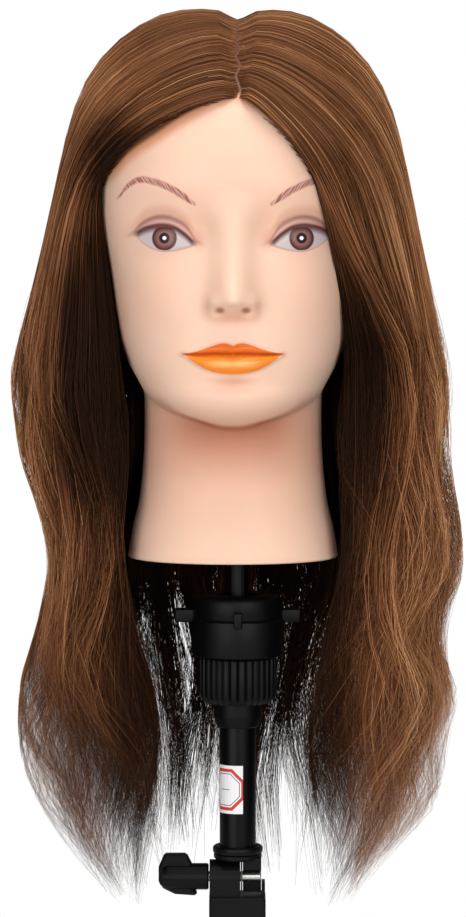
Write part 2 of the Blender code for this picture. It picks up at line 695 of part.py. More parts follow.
def build_tilt_knob(parent):
    """Winged knob: a round hub along the bolt with two flat wings."""
    bore_end = -0.0228 - GAP
    hub = [
        (0, -0.0400),
        (0.0062, -0.0395),
        (0.0070, -0.0370),
        (0.0070, -0.0160),
        (0.0064, -0.0153),
        (BOLT_R + GAP, -0.0153),
        (BOLT_R + GAP, bore_end),
        (0, bore_end),
    ]
    knob = add_piece("tilt_knob", turned(hub, 20), black_plastic("knob_plastic"), parent, (0, 0, 0),
                     (0, pi / 2, 0))
    wings = [(-0.0416, -0.0030), (-0.0416, 0.0050), (-0.0385, 0.0122), (-0.0268, 0.0122), (-0.0240, 0.0066),
             (-0.0240, -0.0066), (-0.0213, -0.0072), (-0.0217, -0.0098), (-0.0330, -0.0090),
             (-0.0388, -0.0062)]
    bm = bmesh.new()
    face = bm.faces.new([bm.verts.new((x, -0.0032, z)) for x, z in wings])
    result = bmesh.ops.extrude_face_region(bm, geom=[face])
    moved = [item for item in result["geom"] if isinstance(item, bmesh.types.BMVert)]
    bmesh.ops.translate(bm, vec=(0, 0.0064, 0), verts=moved)
    bmesh.ops.transform(bm, matrix=Matrix.Rotation(-pi / 2, 4, "Y"), verts=bm.verts)
    form = add_cutter("form_wings", bm, knob)
    round_edges(form, 0.0010)
    boolean(knob, form, "UNION")


def build_tilt_bolt(parent):
    profile = [(0, -0.0228), (BOLT_R, -0.0228), (BOLT_R, CHEEK_TO - 0.0006), (BOLT_R - 0.0006, CHEEK_TO),
               (0, CHEEK_TO)]
    add_piece("tilt_bolt", turned(profile, 16), bright_steel("bolt_steel"), parent, (0, 0, 0), (0, pi / 2, 0))


# ---------------------------------------------------------------- desk clamp
def build_lower_post(parent):
    """Short tube from the clamp's boss into the lower tilt block."""
    bottom, top = 0.0110, HINGE_Z - 0.0180 - GAP
    wall = 0.0015
    profile = [(POST_R - wall, bottom), (POST_R, bottom), (POST_R, top), (POST_R - wall, top)]
    add_piece("lower_post", turned(profile, 32, hollow=True), black_plastic("post_lacquer"), parent,
              (0, POLE_Y, 0))


def build_clamp_frame(parent):
    """C-shaped casting with a boss for the post and a threaded eye for the screw."""
    under = PAD_THICKNESS + GAP
    outline = [(SPINE_BACK, UPPER_ARM_TOP), (ARM_END, UPPER_ARM_TOP - 0.003), (ARM_END, under),
               (SPINE_FRONT, under)]
    outline += [(SPINE_FRONT, LOWER_ARM_TOP), (0.0120, LOWER_ARM_TOP), (0.0120, LOWER_ARM_BOTTOM)]
    outline += [(SPINE_BACK + 0.008, LOWER_ARM_BOTTOM), (SPINE_BACK, LOWER_ARM_BOTTOM + 0.008)]
    frame = add_piece("clamp_frame", extruded_along_x(outline, -CLAMP_HALF_WIDTH, CLAMP_HALF_WIDTH),
                      plain_material("clamp_paint", (0.015, 0.015, 0.016), 0.45), parent)
    round_edges(frame, 0.0020)
    boss = [(0, 0.0080), (0.0150, 0.0080), (0.0150, 0.0280), (0.0138, 0.0300), (0, 0.0300)]
    boolean(frame, add_cutter("form_boss", turned(boss, 28), parent, (0, POLE_Y, 0)), "UNION")
    eye = [(0, LOWER_ARM_BOTTOM - 0.004), (0.0080, LOWER_ARM_BOTTOM - 0.004),
           (0.0090, LOWER_ARM_BOTTOM + 0.001),
           (0.0090, LOWER_ARM_TOP + 0.001), (0, LOWER_ARM_TOP + 0.001)]
    boolean(frame, add_cutter("form_eye", turned(eye, 24), parent), "UNION")
    seat = cylinder(POST_R + GAP, 0.0110 - GAP, 0.0400, 28)
    boolean(frame, add_cutter("cut_boss_seat", seat, parent, (0, POLE_Y, 0)), "DIFFERENCE")
    thread = cylinder(CLAMP_SCREW_R + GAP, -0.0900, -0.0500, 20)
    boolean(frame, add_cutter("cut_eye_thread", thread, parent), "DIFFERENCE")
    hole = cylinder(0.0023, 0, 0.0100, 12)
    place = (0, POLE_Y - 0.0080, 0.0220)
    boolean(frame, add_cutter("cut_boss_screw", hole, parent, place, (pi / 2, 0, 0)), "DIFFERENCE")
    screw = turned([(0, 0), (0.0020, 0), (0.0020, 0.0036), (0.0036, 0.0036), (0.0036, 0.0058), (0, 0.0058)],
                   14)
    add_piece("boss_screw", screw, bright_steel("boss_screw_steel"), parent,
              (0, POLE_Y - POST_R - 2 * GAP, 0.0220), (pi / 2, 0, 0))


def build_jaw_pad(parent):
    pad = box((-0.0115, -0.0160, 0), (0.0115, 0.0160, PAD_THICKNESS))
    add_piece("jaw_pad", pad, plain_material("pad_rubber", (0.04, 0.04, 0.04), 0.85), parent)


def build_clamp_screw(parent):
    foot = [
        (0, FOOT_TOP),
        (0.0120, FOOT_TOP),
        (0.0130, FOOT_TOP - 0.0012),
        (0.0130, FOOT_TOP - 0.0030),
        (0.0075, FOOT_BOTTOM),
        (CLAMP_SCREW_R + GAP, FOOT_BOTTOM),
        (CLAMP_SCREW_R + GAP, FOOT_TOP - 0.0035),
        (0, FOOT_TOP - 0.0035),
    ]
    add_piece("clamp_foot", turned(foot, 28), black_plastic("foot_plastic"), parent)
    top = FOOT_TOP - 0.0035 - GAP
    screw = [(0, SCREW_END), (CLAMP_SCREW_R, SCREW_END), (CLAMP_SCREW_R, top - 0.0010), (0.0030, top),
             (0, top)]
    add_piece("clamp_screw", turned(screw, 20), bright_steel("screw_steel"), parent)
    bore_top, bore_end = HANDLE_TOP, SCREW_END - GAP
    hub = [
        (CLAMP_SCREW_R + GAP, bore_top),
        (0.0080, bore_top),
        (0.0092, bore_top - 0.0030),
        (0.0092, HANDLE_BOTTOM + 0.0020),
        (0.0080, HANDLE_BOTTOM),
        (0, HANDLE_BOTTOM),
        (0, bore_end),
        (CLAMP_SCREW_R + GAP, bore_end),
        (CLAMP_SCREW_R + GAP, bore_top),
    ]
    handle = add_piece("clamp_handle", turned(hub, 24), black_plastic("handle_plastic"), parent)
    for side in (-1, 1):
        wing = box((0.0070, -0.0030, HANDLE_BOTTOM + 0.0015), (0.0260, 0.0030, HANDLE_TOP - 0.0015))
        turn = 0 if side > 0 else pi
        form = add_cutter(f"form_handle_wing_{'right' if side > 0 else 'left'}", wing, parent, (0, 0, 0),
                          (0, 0, turn))
        round_edges(form, 0.0014)
        boolean(handle, form, "UNION")


def main():
    clear_scene()
    hinge = add_empty("hinge_axis", (0, POLE_Y, HINGE_Z))
    neck = add_empty("neck_base", (HEAD_OFFSET_X, 0, NECK_BASE), hinge)
    table = add_empty("table_top", (0, 0, 0))
    screw_holes = screw_hole_cutter(add_empty("socket_axis", (-HEAD_OFFSET_X, 0, 0), neck))

    build_head_shell(neck)
    build_foam_core(neck, screw_holes)
    build_neck_plate(neck, screw_holes)
    build_socket(neck, screw_holes)
    build_plate_screws(screw_holes.parent)
    build_hair(neck)

    build_spigot(hinge)
    build_adapter_collar(hinge)
    build_collet(hinge)
    build_sleeve(hinge)
    build_grip_nut(hinge)
    build_tube(hinge)
    build_label(hinge)

    build_upper_tilt_block(hinge)
    build_lower_tilt_block(hinge)
    build_friction_disc(hinge)
    build_tilt_knob(hinge)
    build_tilt_bolt(hinge)

    build_lower_post(table)
    build_clamp_frame(table)
    build_jaw_pad(table)
    build_clamp_screw(table)


main()
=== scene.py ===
"""Looks of the mannequin training head: painted vinyl, long rooted hair and the finishes of the stand."""

import json
from math import cos, pi, radians, sin, sqrt, tau

import bmesh
import bpy
import numpy as np
from bpy.props import FloatProperty, FloatVectorProperty, IntProperty, PointerProperty
from mathutils import Matrix, Vector


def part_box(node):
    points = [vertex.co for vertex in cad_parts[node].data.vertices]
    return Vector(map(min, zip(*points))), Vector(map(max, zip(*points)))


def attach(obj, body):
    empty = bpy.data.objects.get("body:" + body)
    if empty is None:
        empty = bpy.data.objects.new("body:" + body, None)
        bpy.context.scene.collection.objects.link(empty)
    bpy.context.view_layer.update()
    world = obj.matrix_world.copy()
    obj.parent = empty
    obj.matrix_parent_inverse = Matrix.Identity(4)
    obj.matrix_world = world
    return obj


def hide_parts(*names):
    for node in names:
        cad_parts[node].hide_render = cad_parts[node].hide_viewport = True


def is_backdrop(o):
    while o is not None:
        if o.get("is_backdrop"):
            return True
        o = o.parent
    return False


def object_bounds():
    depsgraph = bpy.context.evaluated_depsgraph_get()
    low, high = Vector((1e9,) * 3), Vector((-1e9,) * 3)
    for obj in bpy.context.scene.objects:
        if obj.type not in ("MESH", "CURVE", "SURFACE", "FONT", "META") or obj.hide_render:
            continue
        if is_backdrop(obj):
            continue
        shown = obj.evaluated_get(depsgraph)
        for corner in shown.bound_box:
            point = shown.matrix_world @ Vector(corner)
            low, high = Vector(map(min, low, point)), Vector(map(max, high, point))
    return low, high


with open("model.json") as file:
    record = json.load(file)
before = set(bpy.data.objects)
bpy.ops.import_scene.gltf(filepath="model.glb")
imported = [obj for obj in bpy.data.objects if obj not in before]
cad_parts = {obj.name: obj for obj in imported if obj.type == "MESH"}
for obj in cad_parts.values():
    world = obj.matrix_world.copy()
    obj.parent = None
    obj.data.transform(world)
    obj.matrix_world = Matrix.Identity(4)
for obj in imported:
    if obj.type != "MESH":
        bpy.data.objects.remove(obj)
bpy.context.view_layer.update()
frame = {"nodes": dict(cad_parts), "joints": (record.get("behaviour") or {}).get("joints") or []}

bl_info = {
    "name": "Mannequin training head",
    "version": (1, 0, 0),
    "blender": (4, 5, 0),
    "location": "3D View > Sidebar > Training head",
    "description": "Builds the vinyl head, its hair and the finishes of the stand round the part's frame",
    "category": "Object",
}

# -------- places taken from the frame
NECK_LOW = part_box("head_shell")[0]
TILT = next(joint for joint in frame["joints"] if joint["name"] == "tilt")
HINGE = Vector(TILT["pos_m"])
HEAD_X = (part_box("neck_plate")[0][0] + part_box("neck_plate")[1][0]) / 2
NECK_BASE = Vector((HEAD_X, HINGE.y, NECK_LOW.z))
SHELL_WALL = 0.0045

# -------- the head's form
# Height above the neck's edge, and half width or reach from the axis, metres.
NECK_WIDTH = [(0.0, 0.0550), (0.015, 0.0525), (0.030, 0.0490), (0.055, 0.0465), (0.085, 0.0460),
              (0.120, 0.0460)]
NECK_FRONT = [(0.0, 0.0550), (0.015, 0.0515), (0.030, 0.0485), (0.055, 0.0460), (0.085, 0.0440),
              (0.120, 0.0400)]
NECK_BACK = [(0.0, 0.0540), (0.030, 0.0500), (0.060, 0.0480), (0.090, 0.0490), (0.120, 0.0480)]
HEAD_WIDTH = [(0.062, 0.008), (0.068, 0.014), (0.0713, 0.0190), (0.0735, 0.0255), (0.0765, 0.0335),
              (0.0805, 0.0400), (0.0855, 0.0450), (0.0920, 0.0490), (0.102, 0.0545), (0.114, 0.0593),
              (0.128, 0.0622), (0.150, 0.0658), (0.175, 0.0710), (0.200, 0.0740), (0.220, 0.0735),
              (0.240, 0.0685), (0.256, 0.0590), (0.268, 0.0460), (0.276, 0.0290), (0.280, 0.0)]
HEAD_FRONT = [(0.062, 0.022), (0.0665, 0.038), (0.0695, 0.051), (0.0725, 0.0615), (0.0755, 0.0685),
              (0.0795, 0.0735), (0.0850, 0.0757), (0.092, 0.0752), (0.105, 0.0760), (0.125, 0.0775),
              (0.150, 0.0790), (0.175, 0.0825), (0.200, 0.0855), (0.215, 0.0840), (0.236, 0.0745),
              (0.254, 0.0575), (0.268, 0.0360), (0.276, 0.0140), (0.280, 0.0)]
HEAD_BACK = [(0.062, 0.020), (0.080, 0.038), (0.100, 0.051), (0.120, 0.0660), (0.145, 0.0840),
             (0.170, 0.0945), (0.195, 0.0985), (0.220, 0.0940), (0.242, 0.0810), (0.258, 0.0640),
             (0.270, 0.0440), (0.277, 0.0260), (0.280, 0.0)]
CROWN_Y = 0.010
SKULL_TOP = 0.2800
NECK_TOP = 0.120  # above this only the head's own form counts
JAW_BLEND = 0.0015
RIM_RADIUS = 0.0014
INSIDE_ROWS = [0.012, 0.030, 0.056, 0.064, 0.070, 0.077, 0.085, 0.096, 0.110, 0.135, 0.165, 0.195, 0.220,
               0.240, 0.256, 0.266, 0.2725]

# Face outlines in millimetres: distance from the middle line, height above the neck's edge.
LIP_TOP = [(0, 111.4), (4.6, 112.7), (9, 111.7), (15, 109.6), (20, 108.2), (25, 107.2)]
LIP_SEAM = [(0, 107.0), (8, 107.2), (16, 106.9), (25, 107.1)]
LIP_LOW = [(0, 97.1), (6, 97.5), (11, 98.7), (16, 101.0), (21, 104.2), (25, 107.0)]
EYE_TOP = [(19.0, 161.8), (24, 166.0), (29, 169.2), (34.5, 170.4), (40, 170.0), (45, 168.6), (49.0, 166.6)]
EYE_LOW = [(19.0, 161.6), (24, 160.2), (30, 159.0), (36, 159.0), (41, 160.6), (45, 163.0), (49.0, 166.4)]
LID_TOP = [(17.5, 163.0), (23, 170.2), (29, 174.0), (35, 175.4), (41, 174.6), (46.5, 171.6), (51.0, 167.2)]
NOSE_HEIGHT = [(121.0, 0), (123.5, 1.5), (126.5, 7.0), (129.5, 13.5), (132.5, 19.0), (135.5, 19.5),
               (139.5, 17.6), (146, 13.4), (154, 9.2), (162, 6.2), (170, 4.0), (178, 2.2), (188, 0)]
NOSE_WIDTH = [(120, 7.0), (126, 8.4), (132, 8.8), (140, 9.0), (150, 9.2), (160, 9.6), (170, 11), (188, 14)]
BROW_LOW = [(18.6, 180.8), (24.0, 183.4), (31.4, 187.8), (39.7, 191.2), (46.8, 192.4), (52.9, 189.6),
            (58.6, 184.4)]
BROW_TOP = [(18.6, 182.4), (24.0, 187.0), (31.4, 191.4), (39.7, 194.6), (46.8, 195.4), (52.9, 192.2),
            (58.6, 185.4)]
HAIRLINE = [(0, 235.5), (8, 233.5), (17, 228.5), (28, 222), (37, 216), (52, 206), (62, 197)]
IRIS = (34.2, 164.9)
IRIS_RADIUS = 6.2
OUTLINE_SIDE = 64.0  # reach of the drawn outlines from the middle, millimetres
OUTLINE_LOW = 70.0
OUTLINE_SPAN = 180.0


# -------- stand
# Turned profiles as radius and height, metres above the tilt bolt on the tube's axis.
TUBE_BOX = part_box("upper_tube")
STAND = Vector(((TUBE_BOX[0].x + TUBE_BOX[1].x) / 2, (TUBE_BOX[0].y + TUBE_BOX[1].y) / 2, HINGE.z))
COLLAR = [(0.0058, 0.1460), (0.0098, 0.1460), (0.0103, 0.1463), (0.0107, 0.1487), (0.0112, 0.1490),
          (0.0200, 0.1490), (0.0212, 0.1488), (0.0223, 0.1480), (0.0231, 0.1464), (0.0234, 0.1446),
          (0.0234, 0.1374), (0.0231, 0.1368), (0.0236, 0.1362), (0.0241, 0.1358), (0.0243, 0.1350),
          (0.0243, 0.1182), (0.0240, 0.1174), (0.0233, 0.1170), (0.0149, 0.1170), (0.0149, 0.1255),
          (0.0058, 0.1255)]
SLEEVE = [(0.0098, 0.0795), (0.0106, 0.0795), (0.0111, 0.0799), (0.0126, 0.0846), (0.0127, 0.0855),
          (0.0127, 0.0915), (0.0145, 0.0940), (0.0145, 0.1250), (0.0093, 0.1250), (0.0093, 0.1010),
          (0.0098, 0.1003)]
FLANGE = [(0.0098, 0.0125), (0.0118, 0.0125), (0.0127, 0.0129), (0.0131, 0.0138), (0.0131, 0.0153),
          (0.0128, 0.0161), (0.0121, 0.0166), (0.0098, 0.0166)]
TUBE = [(0.0082, 0.0125), (0.0095, 0.0125), (0.0095, 0.1000), (0.0082, 0.1000)]
NUT_RIBS = 30
NUT_RADIUS = 0.0205
NUT_GROOVE = 0.0011
NUT_BORE = 0.0150
NUT_PROFILE = [  # height, share of the full radius
    (0.0921, 0.80), (0.0932, 0.87), (0.0945, 0.94), (0.0958, 0.985),
    (0.0968, 1.0), (0.1156, 1.0), (0.1161, 0.985), (0.1164, 0.965),
]
LUG_ROOT = 0.0225
LUG_TOP = 0.1415
# Reach from the axis, lowest point and half width, the front lug first.
LUGS = [(0.0262, 0.1330, 0.0022)] + [(0.0330, 0.1345, 0.0040)] * 3
SHARP_ANGLE = radians(32)
PLASTIC_GRAIN = (1800.0, 0.0001)  # scale of the grain and its height in metres
ZINC = (0.60, 0.60, 0.58, 1.0)
LABEL_TURN = -44.0  # middle of the sticker round the tube, degrees from the front
LABEL_RADIUS = 0.0097

# -------- studio
FLOOR_RADIUS = 0.75
FLOOR_GAP = 0.010
AMBIENT = 0.36
LIGHTS = [
    # name, place from the middle of the head and stand, size, watts
    ("key_light", (0.75, -1.75, 0.35), 1.4, 17),
    ("fill_light", (-0.95, -1.65, 0.10), 1.4, 15),
    ("top_light", (0.10, -0.30, 1.2), 0.7, 8),
]
LIGHTS_HEIGHT = 0.30  # the lights' and the camera's heights are above the tilt bolt
CAMERA_DISTANCE = 1.7
CAMERA_HEIGHT = 0.3125
AIM_HEIGHT = 0.220


# -------- number helpers
def smooth_curve(points, at):
    """Smooth interpolation through (position, value) points, flat beyond the ends."""
    at = np.asarray(at, float)
    x = np.array([point[0] for point in points], float)
    y = np.array([point[1] for point in points], float)
    slope = np.empty_like(y)
    slope[1:-1] = (y[2:] - y[:-2]) / (x[2:] - x[:-2])
    slope[0] = (y[1] - y[0]) / (x[1] - x[0])
    slope[-1] = (y[-1] - y[-2]) / (x[-1] - x[-2])
    held = np.clip(at, x[0], x[-1])
    i = np.clip(np.searchsorted(x, held, side="right") - 1, 0, len(x) - 2)
    span = x[i + 1] - x[i]
    t = (held - x[i]) / span
    return (
        y[i] * (2 * t**3 - 3 * t**2 + 1)
        + slope[i] * span * (t**3 - 2 * t**2 + t)
        + y[i + 1] * (3 * t**2 - 2 * t**3)
        + slope[i + 1] * span * (t**3 - t**2)
    )


def smooth_step(low, high, value):
    """0 at low, 1 at high, smooth between. low may be the larger one."""
    t = np.clip((value - low) / (high - low), 0.0, 1.0)
    return t * t * (3 - 2 * t)


def bump(x, z, center_x, center_z, size_x, size_z):
    """1 in the middle of an oval, fading to 0."""
    return np.exp(-(((x - center_x) / size_x) ** 2) - ((z - center_z) / size_z) ** 2)


# -------- mesh helpers
def add_mesh(name, verts, faces, material, location, tone=None):
    """A smooth mesh object from arrays of points and of faces with equal corners."""
    mesh = bpy.data.meshes.new(name)
    verts = np.asarray(verts, np.float32)
    faces = np.asarray(faces, np.int32)
    sides = faces.shape[1]
    mesh.vertices.add(len(verts))
    mesh.vertices.foreach_set("co", verts.ravel())
    mesh.loops.add(faces.size)
    mesh.loops.foreach_set("vertex_index", faces.ravel())
    mesh.polygons.add(len(faces))
    mesh.polygons.foreach_set("loop_start", np.arange(0, faces.size, sides, dtype=np.int32))
    mesh.polygons.foreach_set("loop_total", np.full(len(faces), sides, np.int32))
    mesh.update(calc_edges=True)
    mesh.shade_smooth()
    if tone is not None:
        mesh.attributes.new("tone", "FLOAT", "POINT").data.foreach_set("value", tone.astype(np.float32))
    mesh.materials.append(material)
    obj = bpy.data.objects.new(name, mesh)
    obj.location = location
    bpy.context.scene.collection.objects.link(obj)
    return obj


def grid_faces(rows, columns, first=0):
    """Quads of a tube of rows, each a closed ring of columns points."""
    index = np.arange(rows * columns).reshape(rows, columns) + first
    across = np.roll(index, -1, axis=1)
    return np.stack([index[:-1], across[:-1], across[1:], index[1:]], -1).reshape(-1, 4)


# -------- head form
def section_radius(width, front, back, turn, power):
    """Radius of a rounded section at an angle from the front, from its half width, front and back depths."""
    depth = np.where(np.cos(turn) > 0, front, back)
    width = np.maximum(width, 1e-5)
    depth = np.maximum(depth, 1e-5)
    return (np.abs(np.sin(turn) / width) ** power + np.abs(np.cos(turn) / depth) ** power) ** (-1 / power)


def between(points_low, points_high, side, height, soft):
    """1 between two outlines given in millimetres, softly 0 outside them."""
    low = smooth_curve(points_low, side)
    high = smooth_curve(points_high, side)
    ends = smooth_step(points_low[0][0] - soft, points_low[0][0] + soft, side)
    if points_low[0][0] == 0:
        ends = 1.0
    ends = ends * (1 - smooth_step(points_low[-1][0] - soft, points_low[-1][0] + soft, side))
    above = smooth_step(low - soft, low + soft, height)
    below = 1 - smooth_step(high - soft, high + soft, height)
    return above * below * ends


def face_relief(x, z):
    """How far the features stand out of the plain form, metres in and out."""
    x = x * 1000
    z = z * 1000
    side = np.abs(x)
    nose = smooth_curve(NOSE_HEIGHT, z) * np.exp(-((x / smooth_curve(NOSE_WIDTH, z)) ** 2)) * 0.94
    height = np.maximum(nose, 0)
    height += 5.4 * bump(side, z, 8.6, 130.6, 3.5, 5.0)
    height += 1.6 * bump(x, z, 0, 134.0, 7.0, 5.5)
    height -= 4.8 * bump(side, z, 6.8, 128.4, 2.7, 2.2)
    height -= 5.6 * bump(side, z, 33, 167, 21, 13)
    height -= 2.4 * bump(side, z, 14.0, 168, 7, 11)
    height += 4.6 * bump(side, z, 34.3, 165.0, 14, 8.5)
    height -= 0.8 * between(EYE_LOW, EYE_TOP, side, z, 0.5)
    crease = smooth_curve(LID_TOP, side)
    in_lid = smooth_step(17, 24, side) * (1 - smooth_step(46, 52, side))
    height -= 0.9 * np.exp(-(((z - crease) / 1.4) ** 2)) * in_lid
    height += 1.8 * bump(side, z, 32, 190, 22, 8)
    height += 2.6 * bump(side, z, 38, 138, 19, 18)
    height += 3.6 * bump(x, z, 0, 107, 27, 17)
    envelope = np.clip(1 - (side / 25.5) ** 2, 0, 1)
    seam = smooth_curve(LIP_SEAM, side)
    upper = np.clip((z - seam) / np.maximum(smooth_curve(LIP_TOP, side) - seam + 0.6, 0.6), 0, 1)
    lower = np.clip((seam - z) / np.maximum(seam - smooth_curve(LIP_LOW, side) + 0.8, 0.8), 0, 1)
    height += 2.9 * np.sin(pi * upper) ** 0.8 * envelope**0.7
    height += 4.3 * np.sin(pi * lower) ** 0.8 * envelope**0.7
    height -= 1.5 * np.exp(-(((z - seam) / 0.8) ** 2)) * smooth_step(27, 22, side)
    height -= 1.0 * bump(x, z, 0, 117.0, 2.4, 4.5)
    height -= 2.2 * bump(x, z, 0, 92.5, 17, 4.5)
    height += 2.6 * bump(x, z, 0, 86.0, 16, 9)
    return height / 1000


def plain_radius(turn, z):
    """Radius of the neck and head without features. The jaw's section is squarer than the skull's."""
    neck_size = [smooth_curve(table, z) for table in (NECK_WIDTH, NECK_FRONT, NECK_BACK)]
    head_size = [smooth_curve(table, z) for table in (HEAD_WIDTH, HEAD_FRONT, HEAD_BACK)]
    neck = section_radius(*neck_size, turn, 2.1)
    head = section_radius(*head_size, turn, 2.2 + 0.3 * smooth_step(NECK_TOP, 0.090, z))
    joined = (neck + head + np.sqrt((neck - head) ** 2 + JAW_BLEND**2)) / 2
    return np.where(z < NECK_TOP, joined, head)


def head_radius(turn, z):
    """Radius of the finished head, features included."""
    radius = plain_radius(turn, z)
    return radius + np.where(np.cos(turn) > 0, face_relief(radius * np.sin(turn), z) * np.cos(turn) ** 2, 0.0)


def crown_lean(z):
    """How far back the crown's sections sit."""
    return CROWN_Y * np.clip((z - 0.20) / (SKULL_TOP - 0.20), 0.0, 1.0) ** 2


def to_points(turn, z, radius):
    """Places on the head from an angle from the front, a height and a radius."""
    radius = np.maximum(radius, 0.0002)
    return np.stack([radius * np.sin(turn), -radius * np.cos(turn) + crown_lean(z), z + 0 * radius], -1)


def head_mesh():
    """Outer skin with fine rows at the face, a rounded lower edge and the shell's inside."""
    turns = np.radians(np.concatenate([np.linspace(-80, 80, 226, endpoint=False),
                                       np.linspace(80, 280, 84, endpoint=False)]))
    heights = np.concatenate([
        np.linspace(RIM_RADIUS, 0.060, 18, endpoint=False),
        np.linspace(0.060, 0.092, 40, endpoint=False),
        np.linspace(0.092, 0.136, 86, endpoint=False),
        np.linspace(0.136, 0.158, 24, endpoint=False),
        np.linspace(0.158, 0.178, 42, endpoint=False),
        np.linspace(0.178, 0.236, 28, endpoint=False),
        SKULL_TOP - (SKULL_TOP - 0.236) * np.linspace(1, 0.004, 26) ** 2,
    ])
    turn, z = np.meshgrid(turns, heights)
    outer = to_points(turn, z, head_radius(turn, z))
    inner_heights = np.array([RIM_RADIUS, *INSIDE_ROWS])
    turn, z = np.meshgrid(turns, inner_heights)
    relief = face_relief(plain_radius(turn, z) * np.sin(turn), z)
    dent = np.where(np.cos(turn) > 0, np.minimum(relief, 0.0), 0.0)
    dent = dent - 0.004 * np.exp(-(((z - 0.067) / 0.006) ** 2))
    inner = to_points(turn, z, plain_radius(turn, z) + dent - SHELL_WALL)
    rim = []
    for angle in np.radians(np.linspace(-80, -10, 5)):
        out = plain_radius(turns, 0.0) - RIM_RADIUS * (1 - cos(angle))
        rim.append(to_points(turns, RIM_RADIUS * (1 + sin(angle)) * np.ones_like(turns), out))
    rings = [*inner[::-1], *rim, *outer]
    verts = np.concatenate(rings)
    columns = len(turns)
    faces = grid_faces(len(rings), columns)
    caps = [list(range(columns))[::-1], list(range((len(rings) - 1) * columns, len(rings) * columns))]
    return verts, faces, caps


def fill_caps(obj, caps):
    """Close the two ends of a grid with one face each, and turn all faces outward."""
    bm = bmesh.new()
    bm.from_mesh(obj.data)
    bm.verts.ensure_lookup_table()
    for cap in caps:
        face = bm.faces.new([bm.verts[i] for i in cap])
        face.smooth = True
    bmesh.ops.recalc_face_normals(bm, faces=bm.faces)
    bm.to_mesh(obj.data)
    bm.free()


# -------- hair form
# Outline of the falling hair: height above the neck's edge and reach from the head's middle, metres.
LEFT_REACH = [(-0.182, 0.060), (-0.158, 0.080), (-0.137, 0.093), (-0.116, 0.102), (-0.096, 0.106),
              (-0.064, 0.105), (-0.044, 0.100), (-0.012, 0.094), (0.008, 0.094), (0.030, 0.100),
              (0.050, 0.106), (0.071, 0.109), (0.092, 0.111), (0.112, 0.110), (0.133, 0.106),
              (0.154, 0.101), (0.175, 0.096), (0.196, 0.091), (0.216, 0.085)]
RIGHT_REACH = [(-0.182, 0.062), (-0.158, 0.078), (-0.137, 0.097), (-0.116, 0.104), (-0.096, 0.106),
               (-0.075, 0.111), (-0.054, 0.106), (-0.034, 0.100), (-0.016, 0.113), (0.008, 0.115),
               (0.030, 0.112), (0.050, 0.108), (0.071, 0.109), (0.092, 0.110), (0.112, 0.108),
               (0.133, 0.104), (0.154, 0.100), (0.175, 0.096), (0.196, 0.091), (0.216, 0.084)]
FRONT_REACH = [(-0.182, 0.050), (-0.120, 0.066), (-0.060, 0.074), (0.000, 0.076), (0.060, 0.078),
               (0.110, 0.080), (0.150, 0.084), (0.185, 0.090), (0.216, 0.092)]
BACK_REACH = [(-0.182, 0.064), (-0.130, 0.082), (-0.080, 0.090), (-0.030, 0.088), (0.030, 0.090),
              (0.080, 0.097), (0.130, 0.104), (0.180, 0.108), (0.216, 0.104)]
INNER_REACH = [(-0.182, 0.052), (-0.150, 0.050), (-0.125, 0.043), (-0.080, 0.042), (-0.045, 0.051),
               (-0.020, 0.0605), (-0.005, 0.0640), (0.020, 0.0640), (0.050, 0.060), (0.080, 0.060),
               (0.110, 0.064), (0.140, 0.050)]
SKULL_CENTER = np.array([0.0, 0.008, 0.185])
PART_X = 0.0025
HANG_FROM = 0.185
SKULL_TURNS = 120
SKULL_LEVELS = 63
SKULL_LOWEST = -35  # degrees of elevation
DOME_STEPS = 0.42  # share of a strand's points that lie on the dome
FORWARD_SWEEP = {-1: 0.0, 1: 30.0}  # degrees by which the front of a curtain hangs forward at eye level
STRAND_WIDTH = 1.5  # a strand's section against its radius
STRAND_DEPTH = 0.7
ROOTS = (  # degrees at which a strand hangs, and how far back along the parting it grows
    [30, 62, 68, 76, 88, 104, 125, 180],
    [-0.0745, -0.0735, -0.0640, -0.0440, -0.0180, 0.008, 0.032, 0.058],
)
CURTAIN = {"locks": 34, "tips": (-0.182, -0.135), "sway": 0.085, "swell": 0.32, "ragged": 0.030, "depth": 1.0,
           "parted": 0.55, "from": 0.0, "clump": 0.80, "fly": 0.12, "thickness": 0.95, "tone": 0.50}
BEHIND = {"locks": 48, "tips": (-0.182, -0.125), "sway": 0.120, "swell": 0.30, "ragged": 0.050, "depth": 1.0,
          "parted": 0.50, "from": 0.0, "clump": 0.60, "fly": 0.10, "thickness": 0.95, "tone": 0.46}
FINE = {**CURTAIN, "locks": 60, "parted": 0.8, "clump": 0.55, "fly": 0.30, "thickness": 0.55, "tone": 0.56,
        "swell": 0.55, "ragged": 0.050}
# The nape's short under-layer is painted near black, standing in for the shade behind the neck
NAPE_PAINTED_SHADE = {**BEHIND, "tips": (-0.040, -0.010), "ragged": 0.008, "depth": 0.30, "parted": 0.0, "from": 0.90,
        "sway": 0.02, "thickness": 1.5, "tone": 0.06}
HAIR_SECTIONS = [
    # piece, habit, node it stands for, side, first and last angle from the front, seed
    ("hair_left_front", CURTAIN, "hair_left", -1, (62, 78), 11),
    ("hair_left_side", CURTAIN, "hair_left", -1, (74, 100), 12),
    ("hair_right_front", CURTAIN, "hair_right", 1, (62, 78), 13),
    ("hair_right_side", CURTAIN, "hair_right", 1, (74, 100), 14),
    ("hair_back_left_outer", BEHIND, "hair_back_left", -1, (98, 140), 15),
    ("hair_back_left_middle", BEHIND, "hair_back_left", -1, (136, 180), 16),
    ("hair_back_right_outer", BEHIND, "hair_back_right", 1, (98, 140), 17),
    ("hair_back_right_middle", BEHIND, "hair_back_right", 1, (136, 180), 18),
    ("hair_left_fine", FINE, "hair_left", -1, (63, 100), 21),
    ("hair_right_fine", FINE, "hair_right", 1, (63, 100), 22),
    ("hair_nape_left", NAPE_PAINTED_SHADE, "hair_back_left", -1, (106, 180), 19),
    ("hair_nape_right", NAPE_PAINTED_SHADE, "hair_back_right", 1, (106, 180), 20),
]


